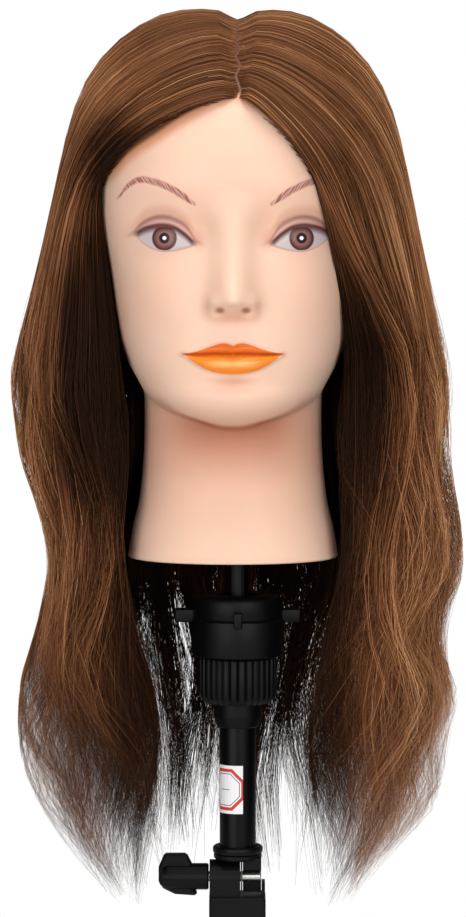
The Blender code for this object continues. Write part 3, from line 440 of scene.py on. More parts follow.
def skull_table():
    """Distance from the skull's centre to its surface over azimuth and elevation, by halving."""
    azimuth = np.radians(np.linspace(-180, 180, SKULL_TURNS + 1))
    elevation = np.radians(np.linspace(SKULL_LOWEST, 90, SKULL_LEVELS + 1))
    a, e = np.meshgrid(azimuth, elevation, indexing="ij")
    direction = np.stack([np.sin(a) * np.cos(e), -np.cos(a) * np.cos(e), np.sin(e)], -1)
    near = np.full(a.shape, 0.03)
    far = np.full(a.shape, 0.15)
    for _ in range(24):
        middle = (near + far) / 2
        point = SKULL_CENTER + direction * middle[..., None]
        z = np.clip(point[..., 2], 0.0, SKULL_TOP)
        y = point[..., 1] - crown_lean(z)
        inside = (np.hypot(point[..., 0], y) < plain_radius(np.arctan2(point[..., 0], -y), z)) & (
            point[..., 2] < SKULL_TOP)
        near = np.where(inside, middle, near)
        far = np.where(inside, far, middle)
    return near


SKULL = skull_table()


def skull_distance(direction):
    """Look up the skull table, direction as unit vectors."""
    a = np.degrees(np.arctan2(direction[..., 0], -direction[..., 1]))
    e = np.degrees(np.arcsin(np.clip(direction[..., 2], -1, 1)))
    fa = np.clip((a + 180) / (360 / SKULL_TURNS), 0, SKULL_TURNS - 0.001)
    fe = np.clip((e - SKULL_LOWEST) / ((90 - SKULL_LOWEST) / SKULL_LEVELS), 0, SKULL_LEVELS - 0.001)
    ia, ie = fa.astype(int), fe.astype(int)
    ta, te = fa - ia, fe - ie
    return (
        SKULL[ia, ie] * (1 - ta) * (1 - te)
        + SKULL[ia + 1, ie] * ta * (1 - te)
        + SKULL[ia, ie + 1] * (1 - ta) * te
        + SKULL[ia + 1, ie + 1] * ta * te
    )


def hang_radius(turn, z, depth):
    """Distance from the axis of hair that hangs at an angle, depth 0 innermost and 1 outermost."""
    side = np.where(turn < 0, smooth_curve(LEFT_REACH, z), smooth_curve(RIGHT_REACH, z))
    outer = section_radius(side, smooth_curve(FRONT_REACH, z), smooth_curve(BACK_REACH, z), turn, 2.0)
    clear = np.where(z > 0.0, plain_radius(turn, np.clip(z, 0.0, 0.27)) + 0.0012, 0.0)
    inner = np.maximum(clear, smooth_curve(INNER_REACH, z))
    outer = np.maximum(outer, inner + 0.003)
    return inner + (outer - inner) * depth


def hang_points(turn, z, depth):
    """Places of hanging hair at an angle from the front, a height and a layer."""
    radius = hang_radius(turn, z, depth)
    return np.stack([radius * np.sin(turn), -radius * np.cos(turn), z], -1)


def unit(vector):
    """Vectors of length 1."""
    return vector / np.linalg.norm(vector, axis=-1, keepdims=True)


def dome_path(root_way, exit_way, exit_distance, on_dome, rise, grown, forward):
    """The stretch over the skull, from the root's direction round to where the hair starts to hang."""
    angle = np.arccos(np.clip((root_way * exit_way).sum(-1), -1, 1))[:, None]
    way = (
        np.sin((1 - on_dome) * angle)[..., None] * root_way[:, None]
        + np.sin(on_dome * angle)[..., None] * exit_way[:, None]
    ) / np.sin(angle)[..., None]
    way[..., 1] -= forward[:, None] * np.sin(pi * on_dome)
    way = unit(way)
    outer_lift = np.maximum(exit_distance - skull_distance(exit_way), 0)[:, None]
    lift = (0.0006 + rise[:, None]) * grown * (1 - on_dome**3) + outer_lift * on_dome**3 * grown
    return SKULL_CENTER + way * (skull_distance(way) + lift)[..., None]


def hair_parameter(start, points):
    """Even steps over the whole way, denser on the dome. A strand that starts late keeps all its points."""
    first = start * DOME_STEPS
    step = first[:, None] + (1 - first[:, None]) * np.linspace(0, 1, points)[None, :] ** 1.45
    on_dome = np.clip(step / DOME_STEPS, 0, 1)
    fall = np.clip((step - DOME_STEPS) / (1 - DOME_STEPS), 0, 1)
    past = step - first[:, None]
    grown = smooth_step(-0.004, 0.035, past) * (1 - 0.35 * np.exp(-((past / 0.05) ** 2)))
    return step, on_dome, fall, grown


def strand_paths(side, turn, depth, tip, start, rise, points, shift_turn, shift_depth):
    """Full paths from the parting to the tips, one row of points for each strand.

    turn is the angle at which a strand hangs, depth its layer, tip its lowest height and start how far along
    the way over the dome it grows out of the scalp. The shifts are functions of the fall and the height.
    """
    count = len(turn)
    root_y = np.interp(np.degrees(turn), *ROOTS)
    zigzag = 0.0012 * (np.abs((root_y * 1000 / 7.0) % 2 - 1) * 2 - 1)
    root_x = PART_X + zigzag + side * np.interp(turn, np.radians([110, 180]), [0.0006, 0.0015])
    root_z = np.full(count, SKULL_TOP)
    for _ in range(60):
        turn_root = np.arctan2(root_x, -(root_y - crown_lean(root_z)))
        inside = plain_radius(turn_root, root_z) > np.hypot(root_x, root_y - crown_lean(root_z))
        root_z = np.where(inside, root_z, root_z - 0.0008)
    root_way = unit(np.stack([root_x, root_y, root_z], -1) - SKULL_CENTER)

    step, on_dome, fall, grown = hair_parameter(start, points)
    z = HANG_FROM + (tip[:, None] - HANG_FROM) * fall
    leading = np.radians(FORWARD_SWEEP[side]) * (1 - smooth_step(62, 78, np.degrees(turn)))
    sweep = leading[:, None] * smooth_step(0.100, HANG_FROM, z)
    turns = side * (turn[:, None] - sweep + shift_turn(fall, z))
    depths = np.clip(depth[:, None] + shift_depth(fall, z), 0.0, 1.10)
    exit_point = hang_points(side * (turn - leading), np.full(count, HANG_FROM), depth)
    exit_way = unit(exit_point - SKULL_CENTER)
    exit_distance = np.linalg.norm(exit_point - SKULL_CENTER, axis=-1)
    turned = np.degrees(turn)
    forward = 0.15 * smooth_step(62, 84, turned) * (1 - smooth_step(100, 135, turned))
    dome = dome_path(root_way, exit_way, exit_distance, on_dome, rise, grown, forward)
    hang = hang_points(turns, z, depths)
    return np.where((step < DOME_STEPS)[..., None], dome, hang), step


def relax(paths, step, passes):
    """Smooth the bend where the dome meets the fall."""
    weight = np.exp(-(((step[:, 1:-1] - DOME_STEPS) / 0.10) ** 2))[..., None] * 0.5
    for _ in range(passes):
        middle = (paths[:, :-2] + paths[:, 2:]) / 2
        paths[:, 1:-1] += (middle - paths[:, 1:-1]) * weight
    return paths


def tubes(paths, radius):
    """Three-sided tubes along the paths. radius gives the half thickness along each strand."""
    count, points = paths.shape[:2]
    along = unit(np.gradient(paths, axis=1) + 1e-9)
    height = np.minimum(paths[..., 2:], HANG_FROM)
    outward = paths - np.array([0, SKULL_CENTER[1], 0.0]) - np.array([0, 0, 1.0]) * height
    across = unit(np.cross(along, outward + 1e-9) + 1e-12)
    normal = np.cross(across, along)
    corners = []
    for angle in (radians(90), radians(210), radians(330)):
        corner = across * cos(angle) * STRAND_WIDTH + normal * sin(angle) * STRAND_DEPTH
        corners.append(paths + corner * radius[..., None])
    verts = np.stack(corners, 2).reshape(-1, 3)
    index = np.arange(count * points * 3).reshape(count, points, 3)
    faces = []
    for k in range(3):
        j = (k + 1) % 3
        faces.append(np.stack([index[:, :-1, k], index[:, :-1, j], index[:, 1:, j], index[:, 1:, k]], -1))
    return verts, np.concatenate([part.reshape(-1, 4) for part in faces])


def painted_hair_shade_and_light(paths):
    """Painted shade and painted light on the hair: how much darker it is at a place, deep down beside the
    face, under the jaw and at the ends, less the painted light on the outer locks.
    """
    x, y, z = paths[..., 0], paths[..., 1], paths[..., 2]
    out = np.abs(x) / np.where(x < 0, smooth_curve(LEFT_REACH, z), smooth_curve(RIGHT_REACH, z))
    inner = 1 - smooth_step(0.62, 0.90, out)
    outer_back = smooth_step(0.035, 0.075, y)
    beside_face = inner * smooth_step(0.0, 0.10, z) * (1 - smooth_step(0.19, 0.225, z)) * (1 - outer_back)
    left_temple = bump(x, z, -0.061, 0.207, 0.016, 0.020) * (1 - outer_back)
    # lit is painted light: lighter where the outer hair faces the light
    lit = 0.16 * smooth_step(0.045, 0.085, np.abs(x)) * smooth_step(0.10, 0.15, z) * (1 + 0.4 * np.sign(x))
    lit = lit - 0.14 * bump(x, z, -0.080, 0.084, 0.022, 0.05) - 0.10 * bump(x, z, 0.086, 0.084, 0.02, 0.04)
    lit = lit + 0.20 * bump(x, z, -0.070, 0.240, 0.022, 0.018) - 0.10 * bump(x, z, -0.030, 0.258, 0.03, 0.03)
    lit = lit + 0.10 * smooth_step(0.02, -0.06, z) * (x > 0.05)
    right_front = smooth_step(0.030, 0.045, x) * smooth_step(0.12, 0.15, z)
    low = smooth_step(0.02, -0.08, z)
    middle = smooth_step(0.010, 0.055, z) * (1 - smooth_step(0.13, 0.18, z)) * (1 - outer_back)
    left_inside = 0.38 * smooth_step(-0.100, -0.082, x) * (x < 0)
    right_inside = 0.16 * smooth_step(0.092, 0.070, x) * (x > 0)
    below_jaw = 0.30 * smooth_step(0.068, 0.056, np.abs(x)) * smooth_step(0.05, 0.0, z) * (1 - outer_back)
    inside = (left_inside + right_inside) * middle + below_jaw
    left_end = low * smooth_step(-0.045, -0.075, x)
    shade = inside + 0.45 * beside_face * (1 - 0.85 * right_front) + 0.62 * left_temple
    shade = shade + 0.12 * low + 0.13 * left_end
    return shade - lit


def grow(habit, side, turns, seed, count, thickness, points=25):
    """One section of hair. Locks share a course, and their strands draw together below."""
    rng = np.random.default_rng(seed)
    locks = habit["locks"]
    low, high = (radians(angle) for angle in turns)
    lock_turn = np.sort(rng.uniform(low, high, locks))
    lock_depth = rng.uniform(0, 1, locks) ** 0.7
    lock_tip = rng.uniform(*habit["tips"], locks)
    lock_sway = rng.uniform(0.3, 1.0, locks) * habit["sway"]
    lock_phase = 2.2 * np.sin(5 * lock_turn + seed) + rng.normal(0, 0.45, locks)
    lock_length = rng.uniform(0.11, 0.17, locks)
    lock_swell = rng.uniform(0.3, 1.0, locks) * habit["swell"]
    lock_tone = rng.normal(0, 0.13, locks)

    turn = rng.uniform(low, high, count)
    lock = np.searchsorted(lock_turn, turn + rng.normal(0, (high - low) / locks, count)).clip(0, locks - 1)
    spread = lock_turn[lock] - turn
    depth = np.clip(lock_depth[lock] + rng.normal(0, 0.12, count), 0.02, 1.0) * habit["depth"]
    tip = np.minimum(lock_tip[lock] + np.abs(rng.normal(0, habit["ragged"], count)), 0.06)
    start = np.where(rng.uniform(0, 1, count) < habit["parted"], 0.0, rng.uniform(habit["from"], 0.97, count))
    layer = rng.uniform(0, 1, count) ** 0.6 * (1 - 0.75 * start)
    rise = 0.0014 + 0.0062 * layer
    fly = np.where(rng.uniform(0, 1, count) < habit["fly"], rng.uniform(2, 5, count), 1.0)
    own_phase = rng.uniform(0, tau, count)
    own_sway = rng.normal(0, 0.016, count) * fly
    own_drift = rng.normal(0, 0.035, count) * fly
    own_swell = rng.normal(0, 0.05, count) * fly

    def shift_turn(fall, z):
        together = habit["clump"] * smooth_step(-0.1, 0.8, fall)
        wave = tau * z / lock_length[lock][:, None] + lock_phase[lock][:, None]
        swing = lock_sway[lock][:, None] * np.sin(wave)
        own = own_sway[:, None] * np.sin(own_phase[:, None] + 9 * fall) + own_drift[:, None] * fall
        return spread[:, None] * together + swing * smooth_step(0.15, 0.75, fall) + own * fall

    def lock_wave(z):
        return lock_swell[lock][:, None] * np.sin(tau * z / 0.15 + 2 * lock_phase[lock][:, None])

    def shift_depth(fall, z):
        own = own_swell[:, None] * np.sin(own_phase[:, None] * 2 + 8 * fall)
        return (lock_wave(z) + own) * smooth_step(0.1, 0.6, fall)

    paths, step = strand_paths(side, turn, depth, tip, start, rise, points, shift_turn, shift_depth)
    paths = relax(paths, step, 3)
    taper = np.interp(np.linspace(0, 1, points), [0, 0.1, 0.8, 1], [0.7, 1.0, 0.9, 0.25])
    radius = rng.uniform(0.00010, 0.00021, count)[:, None] * taper[None, :] * habit["thickness"] * thickness
    fall = smooth_step(0.3, 0.7, step)
    light = np.where(rng.uniform(0, 1, count) < 0.10, rng.uniform(0.15, 0.35, count), 0.0) * habit["depth"]
    # Inner layers are painted darker and bulging locks lighter: painted shade and painted light. Each lock
    # also differs at random.
    dome_tone = 0.36 + 0.16 * layer + rng.normal(0, 0.10, count)
    hang_tone = habit["tone"] + 0.34 * (depth - 0.7) + lock_tone[lock]
    tone = dome_tone[:, None] * (1 - fall) + (hang_tone[:, None] + 0.5 * lock_wave(paths[..., 2])) * fall
    # The place's painted shade and painted light go into the tone
    tone = tone + light[:, None] - painted_hair_shade_and_light(paths)
    return tubes(paths, radius), np.repeat(tone.ravel(), 3)


# -------- material helpers
def new_material(name):
    """A material with an empty node tree."""
    material = bpy.data.materials.new(name)
    material.use_nodes = True
    material.node_tree.nodes.clear()
    return material


def srgb(red, green, blue):
    """Linear colour from the usual 0 to 255 numbers."""
    linear = []
    for value in (red, green, blue):
        value = value / 255
        linear.append(value / 12.92 if value <= 0.04045 else ((value + 0.055) / 1.055) ** 2.4)
    return (*linear, 1.0)


SCALP = srgb(112, 70, 46)
LABEL_WHITE = srgb(238, 236, 238)
LABEL_LINES = [
    # label, half the octagon's width, half the line's thickness, ink
    ("Octagon band", 0.0101, 0.00085, srgb(206, 52, 40)),
    ("Octagon inner line", 0.0083, 0.00020, srgb(96, 60, 66)),
]
DASH_HALF = (0.0030, 0.00022)  # half the dash's length and thickness
DASH_INK = srgb(120, 90, 96)


def hair_material():
    """Brown fibre. The tone attribute carries the painted shade that darkens inner locks and the painted
    light on the outer ones, and each strand differs a little from the next.
    """
    material = new_material("hair_brown")
    nodes, links = material.node_tree.nodes, material.node_tree.links
    shader = nodes.new("ShaderNodeBsdfPrincipled")
    shader.label = "Hair fibre"
    shader.location = (600, 0)
    shader.inputs["Roughness"].default_value = 0.46
    shader.inputs["Specular IOR Level"].default_value = 0.30
    shader.inputs["Specular Tint"].default_value = srgb(235, 190, 150)
    output = nodes.new("ShaderNodeOutputMaterial")
    output.label = "Surface"
    output.location = (900, 0)
    geometry = nodes.new("ShaderNodeNewGeometry")
    geometry.label = "Which strand"
    geometry.location = (-900, 200)
    # The tone attribute holds the painted shade and painted light of each place
    lock = nodes.new("ShaderNodeAttribute")
    lock.label = "Lock tone with painted shade and light"
    lock.location = (-900, -100)
    lock.attribute_name = "tone"
    strand = nodes.new("ShaderNodeMapRange")
    strand.label = "Strand to strand"
    strand.location = (-650, 200)
    strand.inputs["To Min"].default_value = -0.24
    strand.inputs["To Max"].default_value = 0.28
    both = nodes.new("ShaderNodeMath")
    both.operation = "ADD"
    both.use_clamp = True
    both.label = "Lock and strand"
    both.location = (-400, 100)
    tone = nodes.new("ShaderNodeValToRGB")
    tone.label = "Brown shades"
    tone.location = (-150, 100)
    ramp = tone.color_ramp
    ramp.elements[0].position = 0.0
    ramp.elements[0].color = srgb(34, 17, 10)
    ramp.elements[1].position = 1.0
    ramp.elements[1].color = srgb(214, 160, 112)
    for place, colour in (
        (0.22, srgb(68, 38, 22)),
        (0.45, srgb(112, 68, 42)),
        (0.68, srgb(148, 96, 62)),
        (0.85, srgb(178, 120, 78)),
    ):
        element = ramp.elements.new(place)
        element.color = colour
    group = nodes.new("NodeFrame")
    group.label = "Shade of each lock and strand"
    for node in (geometry, lock, strand, both, tone):
        node.parent = group
    links.new(geometry.outputs["Random Per Island"], strand.inputs["Value"])
    links.new(strand.outputs["Result"], both.inputs[0])
    links.new(lock.outputs["Fac"], both.inputs[1])
    links.new(both.outputs["Value"], tone.inputs["Fac"])
    links.new(tone.outputs["Color"], shader.inputs["Base Color"])
    links.new(shader.outputs["BSDF"], output.inputs["Surface"])
    return material


# -------- paint effects on the head
def face_places(material):
    """Places on the head in millimetres: height, distance from the middle line, both together, the front."""
    nodes, links = material.node_tree.nodes, material.node_tree.links
    coordinates = nodes.new("ShaderNodeTexCoord")
    coordinates.label = "Head coordinates"
    coordinates.location = (-3400, 0)
    millimetres = nodes.new("ShaderNodeVectorMath")
    millimetres.operation = "SCALE"
    millimetres.label = "Millimetres"
    millimetres.location = (-3200, 0)
    millimetres.inputs["Scale"].default_value = 1000
    split = nodes.new("ShaderNodeSeparateXYZ")
    split.label = "Axes"
    split.location = (-3000, 0)
    side = nodes.new("ShaderNodeMath")
    side.operation = "ABSOLUTE"
    side.label = "Distance from the middle"
    side.location = (-2800, 100)
    place = nodes.new("ShaderNodeCombineXYZ")
    place.label = "Side and height"
    place.location = (-2600, 0)
    front = nodes.new("ShaderNodeMapRange")
    front.label = "Face side only"
    front.location = (-2600, -200)
    front.inputs["From Min"].default_value = -24
    front.inputs["From Max"].default_value = -34
    group = nodes.new("NodeFrame")
    group.label = "Places on the head, in millimetres"
    for node in (coordinates, millimetres, split, side, place, front):
        node.parent = group
    links.new(coordinates.outputs["Object"], millimetres.inputs[0])
    links.new(millimetres.outputs["Vector"], split.inputs["Vector"])
    links.new(split.outputs["X"], side.inputs[0])
    links.new(side.outputs["Value"], place.inputs["X"])
    links.new(split.outputs["Z"], place.inputs["Y"])
    links.new(split.outputs["Y"], front.inputs["Value"])
    return {
        "vector": millimetres.outputs["Vector"],
        "x": split.outputs["X"],
        "side": side.outputs["Value"],
        "depth": split.outputs["Y"],
        "height": split.outputs["Z"],
        "place": place.outputs["Vector"],
        "front": front.outputs["Result"],
    }


def outline_height(material, places, label, outline, row):
    """Height of a drawn line, in millimetres, at each distance from the middle."""
    nodes, links = material.node_tree.nodes, material.node_tree.links
    share = nodes.new("ShaderNodeMapRange")
    share.label = label + ": how far out"
    share.location = (-2300, row)
    share.inputs["From Max"].default_value = OUTLINE_SIDE
    line = nodes.new("ShaderNodeFloatCurve")
    line.label = label + ": line"
    line.location = (-2100, row)
    curve = line.mapping.curves[0]
    first, last = outline[0], outline[-1]
    points = [(0.0, first[1])] * (first[0] > 0) + list(outline) + [(OUTLINE_SIDE, last[1])]
    while len(curve.points) < len(points):
        curve.points.new(0.5, 0.5)
    for point, (out, up) in zip(curve.points, points):
        point.location = (out / OUTLINE_SIDE, (up - OUTLINE_LOW) / OUTLINE_SPAN)
    line.mapping.update()
    height = nodes.new("ShaderNodeMath")
    height.operation = "MULTIPLY_ADD"
    height.label = label + ": height"
    height.location = (-1800, row)
    height.inputs[1].default_value = OUTLINE_SPAN
    height.inputs[2].default_value = OUTLINE_LOW
    group = nodes.new("NodeFrame")
    group.label = label + " outline"
    for node in (share, line, height):
        node.parent = group
    links.new(places["side"], share.inputs["Value"])
    links.new(share.outputs["Result"], line.inputs["Value"])
    links.new(line.outputs["Value"], height.inputs[0])
    return height.outputs["Value"]


def side_limits(material, places, label, first, last, soft, row):
    """1 between two distances from the middle."""
    nodes, links = material.node_tree.nodes, material.node_tree.links
    near = nodes.new("ShaderNodeMapRange")
    near.interpolation_type = "SMOOTHSTEP"
    near.label = label + ": near end"
    near.location = (-1600, row - 40)
    near.inputs["From Min"].default_value = first - soft
    near.inputs["From Max"].default_value = first + soft
    far = nodes.new("ShaderNodeMapRange")
    far.interpolation_type = "SMOOTHSTEP"
    far.label = label + ": far end"
    far.location = (-1600, row - 80)
    far.inputs["From Min"].default_value = last + soft
    far.inputs["From Max"].default_value = last - soft
    both = nodes.new("ShaderNodeMath")
    both.operation = "MULTIPLY"
    both.label = label + ": ends"
    both.location = (-1400, row - 60)
    group = nodes.new("NodeFrame")
    group.label = label + " ends"
    for node in (near, far, both):
        node.parent = group
    links.new(places["side"], near.inputs["Value"])
    links.new(places["side"], far.inputs["Value"])
    links.new(near.outputs["Result"], both.inputs[0])
    links.new(far.outputs["Result"], both.inputs[1])
    return both.outputs["Value"]


def painted_area(material, places, label, low, high, soft, row):
    """1 between two drawn lines that meet at their ends."""
    nodes, links = material.node_tree.nodes, material.node_tree.links
    bottom = outline_height(material, places, label + " bottom", low, row)
    top = outline_height(material, places, label + " top", high, row - 300)
    above = nodes.new("ShaderNodeMath")
    above.operation = "SUBTRACT"
    above.label = label + ": above the bottom"
    above.location = (-1600, row)
    below = nodes.new("ShaderNodeMath")
    below.operation = "SUBTRACT"
    below.label = label + ": below the top"
    below.location = (-1600, row - 200)
    nearest = nodes.new("ShaderNodeMath")
    nearest.operation = "MINIMUM"
    nearest.label = label + ": nearest line"
    nearest.location = (-1400, row)
    inside = nodes.new("ShaderNodeMapRange")
    inside.interpolation_type = "SMOOTHSTEP"
    inside.label = label + ": inside"
    inside.location = (-1200, row)
    inside.inputs["From Min"].default_value = -soft
    inside.inputs["From Max"].default_value = soft
    ends = side_limits(material, places, label, low[0][0] - 2 * (low[0][0] == 0), low[-1][0], soft, row - 250)
    cut = nodes.new("ShaderNodeMath")
    cut.operation = "MULTIPLY"
    cut.label = label
    cut.location = (-1000, row)
    group = nodes.new("NodeFrame")
    group.label = label + " area"
    for node in (above, below, nearest, inside, cut):
        node.parent = group
    links.new(places["height"], above.inputs[0])
    links.new(bottom, above.inputs[1])
    links.new(top, below.inputs[0])
    links.new(places["height"], below.inputs[1])
    links.new(above.outputs["Value"], nearest.inputs[0])
    links.new(below.outputs["Value"], nearest.inputs[1])
    links.new(nearest.outputs["Value"], inside.inputs["Value"])
    links.new(inside.outputs["Result"], cut.inputs[0])
    links.new(ends, cut.inputs[1])
    return cut.outputs["Value"]


def painted_line(material, places, label, line, width, soft, fade, row, above=0.0):
    """1 on a drawn line, fading at its ends. above moves it up."""
    nodes, links = material.node_tree.nodes, material.node_tree.links
    moved = [(out, up + above) for out, up in line]
    middle = outline_height(material, places, label, moved, row)
    away = nodes.new("ShaderNodeMath")
    away.operation = "SUBTRACT"
    away.label = label + ": offset"
    away.location = (-1600, row)
    distance = nodes.new("ShaderNodeMath")
    distance.operation = "ABSOLUTE"
    distance.label = label + ": distance"
    distance.location = (-1400, row)
    inside = nodes.new("ShaderNodeMapRange")
    inside.interpolation_type = "SMOOTHSTEP"
    inside.label = label + ": stroke"
    inside.location = (-1200, row)
    inside.inputs["From Min"].default_value = width / 2 + soft
    inside.inputs["From Max"].default_value = max(width / 2 - soft, 0.0)
    ends = side_limits(material, places, label, line[0][0], line[-1][0], fade, row - 250)
    cut = nodes.new("ShaderNodeMath")
    cut.operation = "MULTIPLY"
    cut.label = label
    cut.location = (-1000, row)
    group = nodes.new("NodeFrame")
    group.label = label + " stroke"
    for node in (away, distance, inside, cut):
        node.parent = group
    links.new(places["height"], away.inputs[0])
    links.new(middle, away.inputs[1])
    links.new(away.outputs["Value"], distance.inputs[0])
    links.new(distance.outputs["Value"], inside.inputs["Value"])
    links.new(inside.outputs["Result"], cut.inputs[0])
    links.new(ends, cut.inputs[1])
    return cut.outputs["Value"]


def soft_spot(material, places, label, middle, size, row, edge=0.0):
    """1 in the middle of an oval, 0 outside it. edge is the share of the radius that stays full."""
    nodes, links = material.node_tree.nodes, material.node_tree.links
    offset = nodes.new("ShaderNodeVectorMath")
    offset.operation = "SUBTRACT"
    offset.label = label + ": from the middle"
    offset.location = (-1800, row)
    offset.inputs[1].default_value = (*middle, 0)
    scaled = nodes.new("ShaderNodeVectorMath")
    scaled.operation = "DIVIDE"
    scaled.label = label + ": in radii"
    scaled.location = (-1600, row)
    scaled.inputs[1].default_value = (*size, 1)
    length = nodes.new("ShaderNodeVectorMath")
    length.operation = "LENGTH"
    length.label = label + ": distance"
    length.location = (-1400, row)
    spot = nodes.new("ShaderNodeMapRange")
    spot.interpolation_type = "SMOOTHSTEP"
    spot.label = label
    spot.location = (-1200, row)
    spot.inputs["From Min"].default_value = 1.0
    spot.inputs["From Max"].default_value = edge
    group = nodes.new("NodeFrame")
    group.label = label + " spot"
    for node in (offset, scaled, length, spot):
        node.parent = group
    links.new(places["place"], offset.inputs[0])
    links.new(offset.outputs["Vector"], scaled.inputs[0])
    links.new(scaled.outputs["Vector"], length.inputs[0])
    links.new(length.outputs["Value"], spot.inputs["Value"])
    return spot.outputs["Result"]


def hair_strokes(material, places, label, row):
    """Short slanting strokes, as a painted eyebrow has."""
    nodes, links = material.node_tree.nodes, material.node_tree.links
    slant = nodes.new("ShaderNodeMapping")
    slant.vector_type = "TEXTURE"
    slant.label = label + ": slant"
    slant.location = (-1800, row)
    slant.inputs["Rotation"].default_value = (0, 0, radians(56))
    slant.inputs["Scale"].default_value = (7.0, 0.55, 1)
    grain = nodes.new("ShaderNodeTexNoise")
    grain.label = label + ": grain"
    grain.location = (-1600, row)
    grain.inputs["Scale"].default_value = 1.0
    grain.inputs["Detail"].default_value = 2.0
    strokes = nodes.new("ShaderNodeMapRange")
    strokes.label = label
    strokes.location = (-1400, row)
    strokes.inputs["From Min"].default_value = 0.40
    strokes.inputs["From Max"].default_value = 0.58
    strokes.inputs["To Min"].default_value = 0.28
    group = nodes.new("NodeFrame")
    group.label = label
    for node in (slant, grain, strokes):
        node.parent = group
    links.new(places["place"], slant.inputs["Vector"])
    links.new(slant.outputs["Vector"], grain.inputs["Vector"])
    links.new(grain.outputs["Fac"], strokes.inputs["Value"])
    return strokes.outputs["Result"]


def paint_coat(material, label, below, mask, strength, colour, column):
    """One coat of paint laid over what is below it. strength is a number or a second mask that limits it."""
    nodes, links = material.node_tree.nodes, material.node_tree.links
    amount = nodes.new("ShaderNodeMath")
    amount.operation = "MULTIPLY"
    amount.use_clamp = True
    amount.label = label + ": strength"
    amount.location = (-500 + 180 * column, 450)
    coat = nodes.new("ShaderNodeMix")
    coat.data_type = "RGBA"
    coat.label = label
    coat.location = (-500 + 180 * column, 200)
    group = nodes.new("NodeFrame")
    group.label = label + " coat"
    for node in (amount, coat):
        node.parent = group
    sockets = (amount.inputs[0], amount.inputs[1], coat.inputs[6], coat.inputs[7])
    for source, socket in zip((mask, strength, below, colour), sockets):
        if isinstance(source, (float, tuple)):
            socket.default_value = source
        else:
            links.new(source, socket)
    links.new(amount.outputs["Value"], coat.inputs["Factor"])
    return coat.outputs[2]


def vinyl_colour(material, places):
    """Peach vinyl: a little deeper on the neck, partly its own tone and partly painted shade below the chin,
    with the faint mottling of a sprayed coat.
    """
    nodes, links = material.node_tree.nodes, material.node_tree.links
    up = nodes.new("ShaderNodeMapRange")
    up.label = "Neck to forehead"
    up.location = (-1400, 900)
    up.inputs["From Max"].default_value = 240
    tone = nodes.new("ShaderNodeValToRGB")
    tone.label = "Vinyl tone"
    tone.location = (-1200, 900)
    ramp = tone.color_ramp
    ramp.elements[0].color = srgb(248, 206, 182)
    ramp.elements[1].color = srgb(247, 203, 178)
    # Darker in the middle of the neck: partly the vinyl's own tone and partly painted shade below the chin
    for position, colour in (
        (0.20, srgb(238, 188, 162)),
        (0.30, srgb(242, 196, 170)),
        (0.38, srgb(248, 206, 182)),
    ):
        element = ramp.elements.new(position)
        element.color = colour
    mottle = nodes.new("ShaderNodeTexNoise")
    mottle.label = "Spray mottling"
    mottle.location = (-1200, 1150)
    mottle.inputs["Scale"].default_value = 0.09
    mottle.inputs["Detail"].default_value = 3.0
    sprayed = nodes.new("ShaderNodeMix")
    sprayed.data_type = "RGBA"
    sprayed.blend_type = "MULTIPLY"
    sprayed.label = "Mottled vinyl"
    sprayed.location = (-900, 900)
    sprayed.inputs["Factor"].default_value = 0.06
    group = nodes.new("NodeFrame")
    group.label = "Bare vinyl"
    for node in (up, tone, mottle, sprayed):
        node.parent = group
    links.new(places["height"], up.inputs["Value"])
    links.new(up.outputs["Result"], tone.inputs["Fac"])
    links.new(places["vector"], mottle.inputs["Vector"])
    links.new(tone.outputs["Color"], sprayed.inputs[6])
    links.new(mottle.outputs["Color"], sprayed.inputs[7])
    return sprayed.outputs[2]


def painted_shade_under_jaw(material, places, below):
    """Painted shade on the neck, close under the jaw and chin."""
    nodes, links = material.node_tree.nodes, material.node_tree.links
    rise = nodes.new("ShaderNodeMapRange")
    rise.interpolation_type = "SMOOTHSTEP"
    rise.label = "Up the neck"
    rise.location = (-1400, 1900)
    rise.inputs["From Min"].default_value = 34
    rise.inputs["From Max"].default_value = 72
    stop = nodes.new("ShaderNodeMapRange")
    stop.interpolation_type = "SMOOTHSTEP"
    stop.label = "Below the jaw"
    stop.location = (-1400, 2150)
    stop.inputs["From Min"].default_value = 90
    stop.inputs["From Max"].default_value = 80
    back = nodes.new("ShaderNodeMapRange")
    back.interpolation_type = "SMOOTHSTEP"
    back.label = "Behind the chin"
    back.location = (-1400, 2400)
    back.inputs["From Min"].default_value = -60
    back.inputs["From Max"].default_value = -47
    middle = nodes.new("ShaderNodeMapRange")
    middle.interpolation_type = "SMOOTHSTEP"
    middle.label = "Strongest under the chin"
    middle.location = (-1400, 2650)
    middle.inputs["From Min"].default_value = 12
    middle.inputs["From Max"].default_value = 42
    middle.inputs["To Min"].default_value = 1.0
    middle.inputs["To Max"].default_value = 0.30
    band = nodes.new("ShaderNodeMath")
    band.operation = "MULTIPLY"
    band.label = "Band round the neck"
    band.location = (-1200, 2000)
    near = nodes.new("ShaderNodeMath")
    near.operation = "MULTIPLY"
    near.label = "Fading to the sides"
    near.location = (-1000, 2200)
    mask = nodes.new("ShaderNodeMath")
    mask.operation = "MULTIPLY"
    mask.label = "Only behind the chin"
    mask.location = (-800, 2300)
    group = nodes.new("NodeFrame")
    group.label = "Painted shade under the jaw"
    for node in (rise, stop, back, middle, band, near, mask):
        node.parent = group
    links.new(places["height"], rise.inputs["Value"])
    links.new(places["height"], stop.inputs["Value"])
    links.new(places["depth"], back.inputs["Value"])
    links.new(places["side"], middle.inputs["Value"])
    links.new(rise.outputs["Result"], band.inputs[0])
    links.new(stop.outputs["Result"], band.inputs[1])
    links.new(band.outputs["Value"], near.inputs[0])
    links.new(middle.outputs["Result"], near.inputs[1])
    links.new(near.outputs["Value"], mask.inputs[0])
    links.new(back.outputs["Result"], mask.inputs[1])
    return paint_coat(material, "Painted jaw shadow", below, mask.outputs["Value"], 1.0, srgb(178, 108, 76), -1)


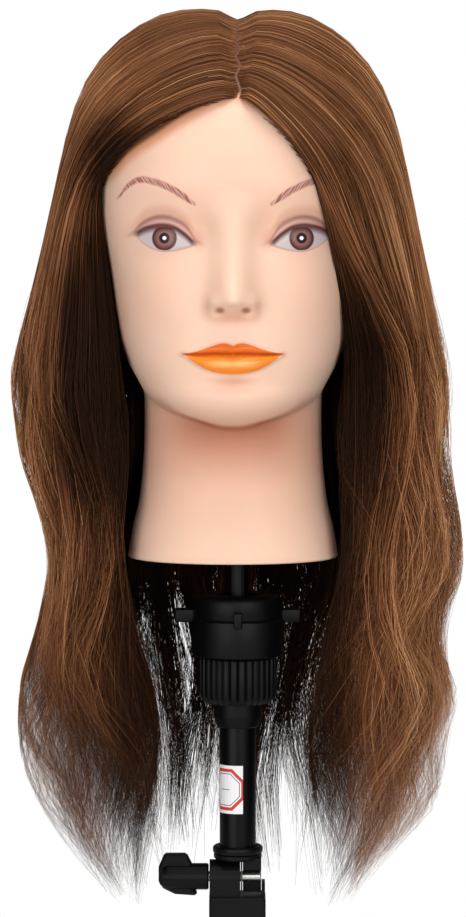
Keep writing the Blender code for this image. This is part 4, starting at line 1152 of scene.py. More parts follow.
def iris_colour(material, places):
    """Rings of the painted iris, pupil and highlight included, against the distance from its middle."""
    nodes, links = material.node_tree.nodes, material.node_tree.links
    offset = nodes.new("ShaderNodeVectorMath")
    offset.operation = "DISTANCE"
    offset.label = "Distance from the pupil"
    offset.location = (-1400, -2600)
    offset.inputs[1].default_value = (*IRIS, 0)
    radius = nodes.new("ShaderNodeMapRange")
    radius.label = "In iris radii"
    radius.location = (-1200, -2600)
    radius.inputs["From Max"].default_value = IRIS_RADIUS * 1.25
    rings = nodes.new("ShaderNodeValToRGB")
    rings.label = "Iris rings"
    rings.location = (-1000, -2600)
    ramp = rings.color_ramp
    ramp.elements[0].color = srgb(255, 255, 255)
    ramp.elements[0].position = 0.10
    ramp.elements[1].color = srgb(205, 190, 188)
    ramp.elements[1].position = 0.84
    for position, colour in (
        (0.15, srgb(44, 24, 24)),
        (0.31, srgb(48, 24, 24)),
        (0.38, srgb(146, 104, 98)),
        (0.52, srgb(138, 92, 86)),
        (0.66, srgb(104, 58, 54)),
        (0.77, srgb(66, 32, 34)),
    ):
        element = ramp.elements.new(position)
        element.color = colour
    group = nodes.new("NodeFrame")
    group.label = "Iris"
    for node in (offset, radius, rings):
        node.parent = group
    links.new(places["place"], offset.inputs[0])
    links.new(offset.outputs["Value"], radius.inputs["Value"])
    links.new(radius.outputs["Result"], rings.inputs["Fac"])
    return rings.outputs["Color"]


def skin_material(upper_lip, lower_lip):
    """Peach vinyl with painted lips, eyes and brows, painted shade in the hollows and under the jaw, nose and
    lip, a painted highlight on the lower lip, and brown where the hair is rooted.
    """
    material = new_material("painted_vinyl")
    nodes, links = material.node_tree.nodes, material.node_tree.links
    places = face_places(material)

    lip_top = painted_area(material, places, "Upper lip", LIP_SEAM, LIP_TOP, 0.45, 0)
    lip_low = painted_area(material, places, "Lower lip", LIP_LOW, LIP_SEAM, 0.45, -700)
    lip_seam = painted_line(material, places, "Lip seam", LIP_SEAM, 0.8, 0.5, 1.5, -1400)
    painted_lip_highlight = soft_spot(material, places, "Painted highlight on the lower lip", (4.0, 102.4), (13, 3.0), -1700)
    eye = painted_area(material, places, "Eye", EYE_LOW, EYE_TOP, 0.30, -2000)
    lid_shade = painted_line(material, places, "Painted lid shadow", EYE_TOP, 1.4, 1.4, 2.0, -2900, -0.8)
    lashes = painted_line(material, places, "Lash line", EYE_TOP, 2.4, 0.8, 2.2, -3300, 0.7)
    low_line = painted_line(material, places, "Lower lid line", EYE_LOW, 0.7, 0.6, 2.0, -3700, -0.4)
    shadow = painted_area(material, places, "Eye shadow", EYE_TOP, LID_TOP, 1.5, -4100)
    crease = painted_line(material, places, "Lid crease", LID_TOP, 1.0, 1.6, 5.0, -4800)
    crease_painted_shade = painted_line(material, places, "Painted shade above the crease", LID_TOP, 2.0, 5.0, 6.0, -8600, 2.5)
    socket = soft_spot(material, places, "Painted shade round the eye", (34, 167), (26, 16), -5200)
    corner = soft_spot(material, places, "Painted shade at the inner corner", (17.0, 163.5), (6, 8), -5500)
    brow = painted_area(material, places, "Eyebrow", BROW_LOW, BROW_TOP, 0.7, -5800)
    strokes = hair_strokes(material, places, "Brow strokes", -6200)
    nostril = soft_spot(material, places, "Nostril", (6.4, 129.0), (3.4, 2.3), -6500, 0.2)
    wing = soft_spot(material, places, "Painted shade in the nose wing fold", (12.4, 131.5), (2.8, 6.5), -6800)
    painted_nose_shadow = soft_spot(material, places, "Painted shadow under the nose", (3.0, 125.6), (13.0, 5.0), -8000)
    cheek = soft_spot(material, places, "Cheek", (40, 138), (24, 26), -7100)
    mouth_corner = soft_spot(material, places, "Mouth corner", (25.2, 106.8), (3.5, 2.5), -7400)
    painted_lip_shadow = soft_spot(material, places, "Painted shadow under the lip", (0, 93.6), (16, 4.0), -7700)
    painted_jaw_side_shade = soft_spot(material, places, "Painted shade on the jaw side", (66.0, 120.0), (17, 50), -8900)
    bridge = soft_spot(material, places, "Painted shade beside the bridge", (16.0, 172.0), (9, 14), -8300)

    in_eye = nodes.new("ShaderNodeMath")
    in_eye.operation = "MULTIPLY"
    in_eye.label = "Lid shade inside the eye"
    in_eye.location = (-800, -2900)
    links.new(lid_shade, in_eye.inputs[0])
    links.new(eye, in_eye.inputs[1])
    # Vinyl with the painted shade under the jaw; the face's coats and the back scalp go over it
    vinyl_and_jaw_shade = painted_shade_under_jaw(material, places, vinyl_colour(material, places))
    colour = vinyl_and_jaw_shade
    coats = [
        # label, mask, strength or limiting mask, paint, from the first coat to the last
        # Painted shade on the sides of the jaw
        ("Painted shade on the jaw side", painted_jaw_side_shade, 0.55, srgb(214, 146, 116)),
        ("Cheek", cheek, 0.25, srgb(248, 186, 160)),
        # Painted shade between the eye and the nose bridge
        ("Painted shade beside the bridge", bridge, 0.30, srgb(226, 168, 136)),
        # Painted shade in the eye socket
        ("Painted shade round the eye", socket, 0.25, srgb(220, 158, 136)),
        # Painted shade above the lid crease
        ("Painted shade above the crease", crease_painted_shade, 0.45, srgb(206, 140, 108)),
        # Painted shade at the inner corner of the eye
        ("Painted shade at the inner corner", corner, 0.30, srgb(196, 120, 98)),
        ("Eye shadow", shadow, 0.70, srgb(196, 150, 146)),
        ("Lid crease", crease, 0.65, srgb(128, 68, 56)),
        ("Eye", eye, 1.0, iris_colour(material, places)),
        # Painted shadow of the upper lid on the top of the eye
        ("Painted lid shadow", in_eye.outputs["Value"], 0.60, srgb(84, 50, 52)),
        ("Lash line", lashes, 0.95, srgb(92, 40, 40)),
        ("Lower lid line", low_line, 0.55, srgb(150, 118, 118)),
        ("Eyebrow", brow, strokes, srgb(158, 88, 84)),
        # Painted shadow under the nose
        ("Painted shadow under the nose", painted_nose_shadow, 0.30, srgb(214, 150, 114)),
        ("Nostril", nostril, 0.80, srgb(158, 82, 44)),
        # Painted shade in the fold beside the nose wing
        ("Painted shade in the nose wing fold", wing, 0.30, srgb(222, 150, 124)),
        # Painted shadow under the lower lip
        ("Painted shadow under the lip", painted_lip_shadow, 0.60, srgb(206, 140, 110)),
        ("Upper lip", lip_top, 1.0, upper_lip),
        ("Lower lip", lip_low, 1.0, lower_lip),
        # Painted highlight on the lower lip
        ("Painted highlight on the lower lip", painted_lip_highlight, lip_low, srgb(255, 186, 110)),
        ("Lip seam", lip_seam, 0.85, srgb(170, 56, 10)),
        ("Mouth corner", mouth_corner, 0.35, srgb(196, 88, 40)),
    ]
    for column, (label, mask, strength, paint) in enumerate(coats):
        colour = paint_coat(material, label, colour, mask, strength, paint, column)

    hairline = outline_height(material, places, "Hairline", HAIRLINE, 1500)
    above = nodes.new("ShaderNodeMath")
    above.operation = "SUBTRACT"
    above.label = "Above the hairline"
    above.location = (-1600, 1500)
    rooted = nodes.new("ShaderNodeMapRange")
    rooted.interpolation_type = "SMOOTHSTEP"
    rooted.label = "Rooted scalp, front"
    rooted.location = (-1400, 1500)
    rooted.inputs["From Min"].default_value = 0.0
    rooted.inputs["From Max"].default_value = 3.0
    blush = nodes.new("ShaderNodeMapRange")
    blush.interpolation_type = "SMOOTHSTEP"
    blush.label = "Stain below the hairline"
    blush.location = (-1400, 1700)
    blush.inputs["From Min"].default_value = -7.0
    blush.inputs["From Max"].default_value = 1.0
    blush.inputs["To Max"].default_value = 0.75
    behind = nodes.new("ShaderNodeMapRange")
    behind.interpolation_type = "SMOOTHSTEP"
    behind.label = "Rooted scalp, sides and back"
    behind.location = (-1400, 1200)
    behind.inputs["From Min"].default_value = 96
    behind.inputs["From Max"].default_value = 106
    group = nodes.new("NodeFrame")
    group.label = "Rooted scalp and its hairline"
    for node in (above, rooted, blush, behind):
        node.parent = group
    links.new(places["height"], above.inputs[0])
    links.new(hairline, above.inputs[1])
    links.new(above.outputs["Value"], rooted.inputs["Value"])
    links.new(above.outputs["Value"], blush.inputs["Value"])
    links.new(places["height"], behind.inputs["Value"])
    last = len(coats)
    stained = paint_coat(material, "Hairline stain", colour, blush.outputs["Result"], 1.0,
                         srgb(206, 128, 72), last)
    face = paint_coat(material, "Scalp, front", stained, rooted.outputs["Result"], 1.0, SCALP, last + 1)
    back = paint_coat(material, "Scalp, back", vinyl_and_jaw_shade, behind.outputs["Result"], 1.0, SCALP, last + 1)
    finished = paint_coat(material, "Face side only", back, places["front"], 1.0, face, last + 2)

    shine = nodes.new("ShaderNodeMix")
    shine.label = "Lips and eyes shine"
    shine.location = (2900, -200)
    shine.inputs["A"].default_value = 0.46
    shine.inputs["B"].default_value = 0.24
    glossy = nodes.new("ShaderNodeMath")
    glossy.operation = "MAXIMUM"
    glossy.label = "Lips"
    glossy.location = (2500, -200)
    wet = nodes.new("ShaderNodeMath")
    wet.operation = "MAXIMUM"
    wet.label = "Lips and eyes"
    wet.location = (2700, -200)
    pores = nodes.new("ShaderNodeTexNoise")
    pores.label = "Moulded grain"
    pores.location = (2500, -500)
    pores.inputs["Scale"].default_value = 1.6
    grain = nodes.new("ShaderNodeBump")
    grain.label = "Fine grain"
    grain.location = (2900, -500)
    grain.inputs["Strength"].default_value = 0.04
    grain.inputs["Distance"].default_value = 0.0003
    group = nodes.new("NodeFrame")
    group.label = "Gloss of lips and eyes"
    for node in (glossy, wet, shine):
        node.parent = group
    group = nodes.new("NodeFrame")
    group.label = "Moulded grain"
    for node in (pores, grain):
        node.parent = group
    shader = nodes.new("ShaderNodeBsdfPrincipled")
    shader.label = "Vinyl"
    shader.location = (3200, 0)
    shader.inputs["Subsurface Weight"].default_value = 0.30
    shader.inputs["Subsurface Radius"].default_value = (1.0, 0.45, 0.25)
    shader.inputs["Subsurface Scale"].default_value = 0.006
    shader.inputs["Specular IOR Level"].default_value = 0.35
    output = nodes.new("ShaderNodeOutputMaterial")
    output.label = "Surface"
    output.location = (3500, 0)
    links.new(lip_top, glossy.inputs[0])
    links.new(lip_low, glossy.inputs[1])
    links.new(glossy.outputs["Value"], wet.inputs[0])
    links.new(eye, wet.inputs[1])
    links.new(wet.outputs["Value"], shine.inputs["Factor"])
    links.new(shine.outputs[0], shader.inputs["Roughness"])
    links.new(places["vector"], pores.inputs["Vector"])
    links.new(pores.outputs["Fac"], grain.inputs["Height"])
    links.new(grain.outputs["Normal"], shader.inputs["Normal"])
    links.new(finished, shader.inputs["Base Color"])
    links.new(shader.outputs["BSDF"], output.inputs["Surface"])
    return material


def floor_material():
    """Pale matt card."""
    material = new_material("floor_card")
    nodes, links = material.node_tree.nodes, material.node_tree.links
    fibre = nodes.new("ShaderNodeTexNoise")
    fibre.label = "Card fibre"
    fibre.location = (-500, 0)
    fibre.inputs["Scale"].default_value = 300
    tone = nodes.new("ShaderNodeMapRange")
    tone.label = "Card tone"
    tone.location = (-300, 0)
    tone.inputs["To Min"].default_value = 0.84
    tone.inputs["To Max"].default_value = 0.88
    group = nodes.new("NodeFrame")
    group.label = "Card fibre"
    for node in (fibre, tone):
        node.parent = group
    shader = nodes.new("ShaderNodeBsdfPrincipled")
    shader.label = "Card"
    shader.location = (0, 0)
    shader.inputs["Roughness"].default_value = 0.9
    output = nodes.new("ShaderNodeOutputMaterial")
    output.label = "Surface"
    output.location = (300, 0)
    links.new(fibre.outputs["Fac"], tone.inputs["Value"])
    links.new(tone.outputs["Result"], shader.inputs["Base Color"])
    links.new(shader.outputs["BSDF"], output.inputs["Surface"])
    return material


def studio_world():
    """White surroundings that light the part less than they show."""
    world = bpy.data.worlds.new("studio_white")
    world.use_nodes = True
    nodes, links = world.node_tree.nodes, world.node_tree.links
    seen = nodes.new("ShaderNodeLightPath")
    seen.label = "Seen or lighting"
    seen.location = (-600, 0)
    strength = nodes.new("ShaderNodeMapRange")
    strength.label = "Strength"
    strength.location = (-300, 0)
    strength.inputs["To Min"].default_value = AMBIENT
    strength.inputs["To Max"].default_value = 1.0
    group = nodes.new("NodeFrame")
    group.label = "White to look at, dimmer as a light"
    for node in (seen, strength):
        node.parent = group
    background = nodes["Background"]
    background.inputs["Color"].default_value = (1, 1, 1, 1)
    links.new(seen.outputs["Is Camera Ray"], strength.inputs["Value"])
    links.new(strength.outputs["Result"], background.inputs["Strength"])
    return world


def disc_mesh(radius, columns=96):
    """A flat disc of four-sided faces."""
    turns = np.linspace(0, tau, columns, endpoint=False)
    edge = radius * np.stack([np.cos(turns), np.sin(turns), 0 * turns], -1)
    rings = [share * edge for share in (0.001, 0.5, 1.0)]
    return np.concatenate(rings), grid_faces(len(rings), columns)


def moulded_plastic(name, colour, roughness, grain, distance):
    """Plastic or rubber with a faint moulded grain and slightly uneven sheen."""
    material = new_material(name)
    nodes, links = material.node_tree.nodes, material.node_tree.links
    place = nodes.new("ShaderNodeTexCoord")
    place.label = "Metres on the part"
    place.location = (-900, 0)
    speckle = nodes.new("ShaderNodeTexNoise")
    speckle.label = "Moulded grain"
    speckle.location = (-650, -250)
    speckle.inputs["Scale"].default_value = grain
    speckle.inputs["Detail"].default_value = 3.0
    wear = nodes.new("ShaderNodeTexNoise")
    wear.label = "Handling marks"
    wear.location = (-650, 150)
    wear.inputs["Scale"].default_value = 90.0
    wear.inputs["Detail"].default_value = 4.0
    sheen = nodes.new("ShaderNodeMapRange")
    sheen.label = "Uneven sheen"
    sheen.location = (-400, -50)
    sheen.inputs["To Min"].default_value = roughness - 0.06
    sheen.inputs["To Max"].default_value = roughness + 0.08
    tint = nodes.new("ShaderNodeMapRange")
    tint.label = "Uneven tint"
    tint.location = (-400, 200)
    tint.inputs["To Min"].default_value = 0.85
    tint.inputs["To Max"].default_value = 1.25
    shade = nodes.new("ShaderNodeVectorMath")
    shade.operation = "SCALE"
    shade.label = "Tinted colour"
    shade.location = (-150, 200)
    shade.inputs[0].default_value = colour[:3]
    relief = nodes.new("ShaderNodeBump")
    relief.label = "Grain relief"
    relief.location = (-400, -350)
    relief.inputs["Strength"].default_value = 0.25
    relief.inputs["Distance"].default_value = distance
    group = nodes.new("NodeFrame")
    group.label = "Handling marks"
    for node in (wear, sheen, tint, shade):
        node.parent = group
    group = nodes.new("NodeFrame")
    group.label = "Moulded grain"
    for node in (speckle, relief):
        node.parent = group
    shader = nodes.new("ShaderNodeBsdfPrincipled")
    shader.label = "Plastic"
    shader.location = (100, 0)
    shader.inputs["Specular IOR Level"].default_value = 0.16
    output = nodes.new("ShaderNodeOutputMaterial")
    output.label = "Surface"
    output.location = (400, 0)
    links.new(place.outputs["Object"], speckle.inputs["Vector"])
    links.new(place.outputs["Object"], wear.inputs["Vector"])
    links.new(wear.outputs["Fac"], sheen.inputs["Value"])
    links.new(wear.outputs["Fac"], tint.inputs["Value"])
    links.new(tint.outputs["Result"], shade.inputs["Scale"])
    links.new(shade.outputs["Vector"], shader.inputs["Base Color"])
    links.new(sheen.outputs["Result"], shader.inputs["Roughness"])
    links.new(speckle.outputs["Fac"], relief.inputs["Height"])
    links.new(relief.outputs["Normal"], shader.inputs["Normal"])
    links.new(shader.outputs["BSDF"], output.inputs["Surface"])
    return material


def plated_steel(name, colour, roughness):
    """Zinc-plated steel with fine turning lines."""
    material = new_material(name)
    nodes, links = material.node_tree.nodes, material.node_tree.links
    place = nodes.new("ShaderNodeTexCoord")
    place.label = "Metres on the part"
    place.location = (-900, 0)
    lines = nodes.new("ShaderNodeTexNoise")
    lines.label = "Turning lines"
    lines.location = (-650, 0)
    lines.inputs["Scale"].default_value = 1400.0
    lines.inputs["Detail"].default_value = 2.0
    sheen = nodes.new("ShaderNodeMapRange")
    sheen.label = "Uneven polish"
    sheen.location = (-400, -100)
    sheen.inputs["To Min"].default_value = roughness - 0.08
    sheen.inputs["To Max"].default_value = roughness + 0.10
    relief = nodes.new("ShaderNodeBump")
    relief.label = "Line relief"
    relief.location = (-400, -350)
    relief.inputs["Strength"].default_value = 0.15
    relief.inputs["Distance"].default_value = 0.00005
    group = nodes.new("NodeFrame")
    group.label = "Turning lines"
    for node in (lines, sheen, relief):
        node.parent = group
    shader = nodes.new("ShaderNodeBsdfPrincipled")
    shader.label = "Steel"
    shader.location = (0, 0)
    shader.inputs["Base Color"].default_value = colour
    shader.inputs["Metallic"].default_value = 1.0
    output = nodes.new("ShaderNodeOutputMaterial")
    output.label = "Surface"
    output.location = (300, 0)
    links.new(place.outputs["Object"], lines.inputs["Vector"])
    links.new(lines.outputs["Fac"], sheen.inputs["Value"])
    links.new(lines.outputs["Fac"], relief.inputs["Height"])
    links.new(sheen.outputs["Result"], shader.inputs["Roughness"])
    links.new(relief.outputs["Normal"], shader.inputs["Normal"])
    links.new(shader.outputs["BSDF"], output.inputs["Surface"])
    return material


def core_foam():
    """Pale moulded foam with small open cells."""
    material = new_material("core_foam")
    nodes, links = material.node_tree.nodes, material.node_tree.links
    place = nodes.new("ShaderNodeTexCoord")
    place.label = "Metres on the part"
    place.location = (-900, 0)
    cells = nodes.new("ShaderNodeTexVoronoi")
    cells.label = "Foam cells"
    cells.location = (-650, 0)
    cells.inputs["Scale"].default_value = 900.0
    tone = nodes.new("ShaderNodeValToRGB")
    tone.label = "Foam shades"
    tone.location = (-400, 100)
    tone.color_ramp.elements[0].color = srgb(216, 204, 176)
    tone.color_ramp.elements[1].color = srgb(238, 228, 204)
    relief = nodes.new("ShaderNodeBump")
    relief.label = "Cell relief"
    relief.location = (-400, -250)
    relief.inputs["Strength"].default_value = 0.5
    relief.inputs["Distance"].default_value = 0.0004
    group = nodes.new("NodeFrame")
    group.label = "Foam cells"
    for node in (cells, tone, relief):
        node.parent = group
    shader = nodes.new("ShaderNodeBsdfPrincipled")
    shader.label = "Foam"
    shader.location = (0, 0)
    shader.inputs["Roughness"].default_value = 0.9
    output = nodes.new("ShaderNodeOutputMaterial")
    output.label = "Surface"
    output.location = (300, 0)
    links.new(place.outputs["Object"], cells.inputs["Vector"])
    links.new(cells.outputs["Distance"], tone.inputs["Fac"])
    links.new(cells.outputs["Distance"], relief.inputs["Height"])
    links.new(tone.outputs["Color"], shader.inputs["Base Color"])
    links.new(relief.outputs["Normal"], shader.inputs["Normal"])
    links.new(shader.outputs["BSDF"], output.inputs["Surface"])
    return material


def label_paper(axis, middle):
    """White paper with an empty octagonal badge, laid out on the unrolled sticker."""
    material = new_material("label_paper")
    nodes, links = material.node_tree.nodes, material.node_tree.links
    place = nodes.new("ShaderNodeTexCoord")
    place.label = "Metres on the part"
    place.location = (-2400, 0)
    shift = nodes.new("ShaderNodeVectorMath")
    shift.operation = "SUBTRACT"
    shift.label = "From the tube's axis"
    shift.location = (-2200, 0)
    shift.inputs[1].default_value = (axis[0], axis[1], middle)
    parts = nodes.new("ShaderNodeSeparateXYZ")
    parts.label = "Round and up"
    parts.location = (-2000, 0)
    front = nodes.new("ShaderNodeMath")
    front.operation = "MULTIPLY"
    front.label = "Towards the front"
    front.inputs[1].default_value = -1.0
    turn = nodes.new("ShaderNodeMath")
    turn.operation = "ARCTAN2"
    turn.label = "Angle round the tube"
    near = nodes.new("ShaderNodeMath")
    near.operation = "ADD"
    near.label = "Angle from the badge"
    near.inputs[1].default_value = radians(-LABEL_TURN)
    along = nodes.new("ShaderNodeMath")
    along.operation = "MULTIPLY"
    along.label = "Unrolled length"
    along.inputs[1].default_value = LABEL_RADIUS
    across = nodes.new("ShaderNodeMath")
    across.operation = "ABSOLUTE"
    across.label = "Sideways"
    up = nodes.new("ShaderNodeMath")
    up.operation = "ABSOLUTE"
    up.label = "Upwards"
    total = nodes.new("ShaderNodeMath")
    total.operation = "ADD"
    total.label = "Both ways"
    corner = nodes.new("ShaderNodeMath")
    corner.operation = "MULTIPLY"
    corner.label = "Corner cut"
    corner.inputs[1].default_value = sqrt(0.5)
    square = nodes.new("ShaderNodeMath")
    square.operation = "MAXIMUM"
    square.label = "Square"
    octagon = nodes.new("ShaderNodeMath")
    octagon.operation = "MAXIMUM"
    octagon.label = "Octagon"
    group = nodes.new("NodeFrame")
    group.label = "Distance from the badge's middle"
    for column, node in enumerate((front, turn, near, along, across, up, total, corner, square, octagon)):
        node.location = (-1850 + 170 * column, 150)
        node.parent = group
    links.new(place.outputs["Object"], shift.inputs[0])
    links.new(shift.outputs["Vector"], parts.inputs["Vector"])
    links.new(parts.outputs["Y"], front.inputs[0])
    links.new(parts.outputs["X"], turn.inputs[0])
    links.new(front.outputs["Value"], turn.inputs[1])
    links.new(turn.outputs["Value"], near.inputs[0])
    links.new(near.outputs["Value"], along.inputs[0])
    links.new(along.outputs["Value"], across.inputs[0])
    links.new(parts.outputs["Z"], up.inputs[0])
    links.new(across.outputs["Value"], total.inputs[0])
    links.new(up.outputs["Value"], total.inputs[1])
    links.new(total.outputs["Value"], corner.inputs[0])
    links.new(across.outputs["Value"], square.inputs[0])
    links.new(up.outputs["Value"], square.inputs[1])
    links.new(square.outputs["Value"], octagon.inputs[0])
    links.new(corner.outputs["Value"], octagon.inputs[1])
    colour = LABEL_WHITE
    for column, (label, size, half, ink) in enumerate(LABEL_LINES):
        line = nodes.new("ShaderNodeMath")
        line.operation = "COMPARE"
        line.label = label + ": line"
        line.location = (-100, 500 - 200 * column)
        line.inputs[1].default_value = size
        line.inputs[2].default_value = half
        links.new(octagon.outputs["Value"], line.inputs[0])
        colour = paint_coat(material, label, colour, line.outputs["Value"], 1.0, ink, column + 3)
    flat = nodes.new("ShaderNodeMath")
    flat.operation = "LESS_THAN"
    flat.label = "Thin"
    flat.location = (-100, -200)
    flat.inputs[1].default_value = DASH_HALF[1]
    short = nodes.new("ShaderNodeMath")
    short.operation = "LESS_THAN"
    short.label = "Short"
    short.location = (-100, -400)
    short.inputs[1].default_value = DASH_HALF[0]
    group = nodes.new("NodeFrame")
    group.label = "Dash in the badge"
    for node in (flat, short):
        node.parent = group
    links.new(up.outputs["Value"], flat.inputs[0])
    links.new(across.outputs["Value"], short.inputs[0])
    colour = paint_coat(material, "Dash", colour, flat.outputs["Value"], short.outputs["Value"], DASH_INK, 6)
    fibre = nodes.new("ShaderNodeTexNoise")
    fibre.label = "Paper fibre"
    fibre.location = (600, -300)
    fibre.inputs["Scale"].default_value = 1500.0
    relief = nodes.new("ShaderNodeBump")
    relief.label = "Fibre relief"
    relief.location = (850, -300)
    relief.inputs["Strength"].default_value = 0.1
    relief.inputs["Distance"].default_value = 0.00003
    group = nodes.new("NodeFrame")
    group.label = "Paper fibre"
    for node in (fibre, relief):
        node.parent = group
    shader = nodes.new("ShaderNodeBsdfPrincipled")
    shader.label = "Paper"
    shader.location = (1100, 0)
    shader.inputs["Roughness"].default_value = 0.6
    output = nodes.new("ShaderNodeOutputMaterial")
    output.label = "Surface"
    output.location = (1400, 0)
    links.new(place.outputs["Object"], fibre.inputs["Vector"])
    links.new(fibre.outputs["Fac"], relief.inputs["Height"])
    links.new(relief.outputs["Normal"], shader.inputs["Normal"])
    links.new(colour, shader.inputs["Base Color"])
    links.new(shader.outputs["BSDF"], output.inputs["Surface"])
    return material


# -------- stand shapes
def closed_grid(rows, columns):
    """Quads round a tube of rows whose last row joins the first, as on a ring."""
    faces = grid_faces(rows, columns)
    i = np.arange(columns)
    j = (i + 1) % columns
    last = (rows - 1) * columns
    return np.concatenate([faces, np.stack([last + i, last + j, j, i], -1)])


def face_outward(obj):
    """Turn all faces of a closed mesh outward."""
    form = bmesh.new()
    form.from_mesh(obj.data)
    bmesh.ops.recalc_face_normals(form, faces=form.faces)
    form.to_mesh(obj.data)
    form.free()


def ring_piece(name, node, rings, material, body):
    """A finer ring in place of a CAD node, from a closed row of points for each corner of its profile."""
    rings = np.asarray(rings)
    piece = add_mesh(name, rings.reshape(-1, 3), closed_grid(*rings.shape[:2]), material, STAND)
    face_outward(piece)
    piece.data.set_sharp_from_angle(angle=SHARP_ANGLE)
    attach(piece, body)
    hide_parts(node)


def turned_rings(profile, columns=96):
    """Rows of points for a profile turned about the axis."""
    turns = np.linspace(0, tau, columns, endpoint=False)
    return [np.stack([r * np.sin(turns), -r * np.cos(turns), z + 0 * turns], -1) for r, z in profile]


def nut_rings():
    """The grip nut: rounded ribs with narrow grooves between them."""
    turns = np.linspace(0, tau, NUT_RIBS * 10, endpoint=False)
    groove = np.abs(np.cos(turns * NUT_RIBS / 2)) ** 10
    rings = []
    for z, share in NUT_PROFILE:
        r = (NUT_RADIUS - NUT_GROOVE * groove) * share
        rings.append(np.stack([r * np.sin(turns), -r * np.cos(turns), z + 0 * turns], -1))
    for z in (NUT_PROFILE[-1][0], NUT_PROFILE[0][0]):
        rings.append(np.stack([NUT_BORE * np.sin(turns), -NUT_BORE * np.cos(turns), z + 0 * turns], -1))
    return rings


def lug(number, material):
    """One of the collar's hanging lugs, a block with rounded edges."""
    reach, low, half = LUGS[number]
    form = bmesh.new()
    bmesh.ops.create_cube(form, size=1)
    for vert in form.verts:
        vert.co.x *= 2 * half
        vert.co.y = -LUG_ROOT if vert.co.y > 0 else -reach
        vert.co.z = LUG_TOP if vert.co.z > 0 else low
    bmesh.ops.bevel(form, geom=form.edges[:], offset=0.0009, segments=3, profile=0.5, affect="EDGES")
    quarter_turns = Matrix.Rotation(pi / 2 * number, 3, "Z")
    bmesh.ops.rotate(form, verts=form.verts[:], cent=(0, 0, 0), matrix=quarter_turns)
    mesh = bpy.data.meshes.new(f"collar_lug_{number + 1}")
    form.to_mesh(mesh)
    form.free()
    mesh.shade_smooth()
    mesh.set_sharp_from_angle(angle=SHARP_ANGLE)
    mesh.materials.append(material)
    piece = bpy.data.objects.new(mesh.name, mesh)
    piece.location = STAND
    bpy.context.scene.collection.objects.link(piece)
    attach(piece, "upright")
    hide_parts("adapter_collar")


def finish_node(name, material):
    """Give a CAD node that is shown as it is its material."""
    for place in frame["nodes"][name].material_slots:
        place.material = material


# -------- settings
class TrainingHeadSkin(bpy.types.PropertyGroup):
    """Colours of the painted vinyl"""

    upper_lip: FloatVectorProperty(name="Upper lip", description="Paint on the upper lip", subtype="COLOR",
                                   size=4, min=0, max=1, default=srgb(232, 112, 26))
    lower_lip: FloatVectorProperty(name="Lower lip", description="Paint on the lower lip", subtype="COLOR",
                                   size=4, min=0, max=1, default=srgb(250, 142, 36))


class TrainingHeadHair(bpy.types.PropertyGroup):
    """How much hair there is and how thick a strand is"""

    strands: IntProperty(name="Strands", description="Strands in each section of hair", default=1360, min=50,
                         max=1380)
    thickness: FloatProperty(name="Thickness", description="Strand thickness against the usual one",
                             subtype="FACTOR", default=1.0, min=0.5, max=2.0)


class TrainingHeadStand(bpy.types.PropertyGroup):
    """Colour and finish of the stand"""

    plastic: FloatVectorProperty(name="Plastic", description="Colour of the stand's plastic", subtype="COLOR",
                                 size=4, min=0, max=1, default=(0.0016, 0.0016, 0.0017, 1.0))
    roughness: FloatProperty(name="Roughness", description="Roughness of the stand's plastic",
                             subtype="FACTOR",
                             default=0.42, min=0.1, max=1.0)


class TrainingHeadStage(bpy.types.PropertyGroup):
    """Floor, light and camera"""

    floor_radius: FloatProperty(name="Floor radius", description="Radius of the pale floor", unit="LENGTH",
                                default=FLOOR_RADIUS, min=0.3, max=5.0)
    brightness: FloatProperty(name="Brightness", description="Strength of all the lights", subtype="FACTOR",
                              default=1.0, min=0.0, max=4.0)
    lens: FloatProperty(name="Lens", description="Focal length in millimetres", unit="CAMERA", default=128.0,
                        min=20.0, max=300.0)


def settings():
    """The values set in the sidebar."""
    return bpy.context.scene.training_head


class TrainingHeadSettings(bpy.types.PropertyGroup):
    """All settings of the training head"""

    skin: PointerProperty(type=TrainingHeadSkin, name="Skin", description="Painted vinyl")
    hair: PointerProperty(type=TrainingHeadHair, name="Hair", description="Long hair")
    stand: PointerProperty(type=TrainingHeadStand, name="Stand", description="Stand and clamp")
    stage: PointerProperty(type=TrainingHeadStage, name="Stage", description="Floor, light and camera")


# -------- operators
class TRAININGHEAD_OT_head(bpy.types.Operator):
    """Model and paint the vinyl head"""

    bl_idname = "training_head.head"
    bl_label = "Vinyl head"

    def execute(self, context):
        verts, faces, caps = head_mesh()
        skin = settings().skin
        vinyl = skin_material(skin.upper_lip[:], skin.lower_lip[:])
        head = add_mesh("vinyl_head", verts, faces, vinyl, NECK_BASE)
        fill_caps(head, caps)
        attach(head, "head")
        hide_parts("head_shell")
        return {"FINISHED"}


class TRAININGHEAD_OT_neck(bpy.types.Operator):
    """Finish the foam core, the neck plate, its socket and screws"""

    bl_idname = "training_head.neck"
    bl_label = "Foam core and neck plate"

    def execute(self, context):
        finish_node("foam_core", core_foam())
        plastic = moulded_plastic("plate_plastic", settings().stand.plastic, 0.5, *PLASTIC_GRAIN)
        finish_node("neck_plate", plastic)
        finish_node("socket_cup", plastic)
        steel = plated_steel("screw_steel", ZINC, 0.32)
        for number in range(1, 5):
            finish_node(f"plate_screw_{number}", steel)
        return {"FINISHED"}


class TRAININGHEAD_OT_hair(bpy.types.Operator):
    """Grow the long parted hair, lock by lock"""

    bl_idname = "training_head.hair"
    bl_label = "Hair"

    def execute(self, context):
        material = hair_material()
        hair = settings().hair
        for name, habit, node, side, turns, seed in HAIR_SECTIONS:
            (verts, faces), tone = grow(habit, side, turns, seed, hair.strands, hair.thickness)
            piece = add_mesh(name, verts, faces, material, NECK_BASE, tone=tone)
            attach(piece, "head")
            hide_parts(node, "hair_crown")
        return {"FINISHED"}


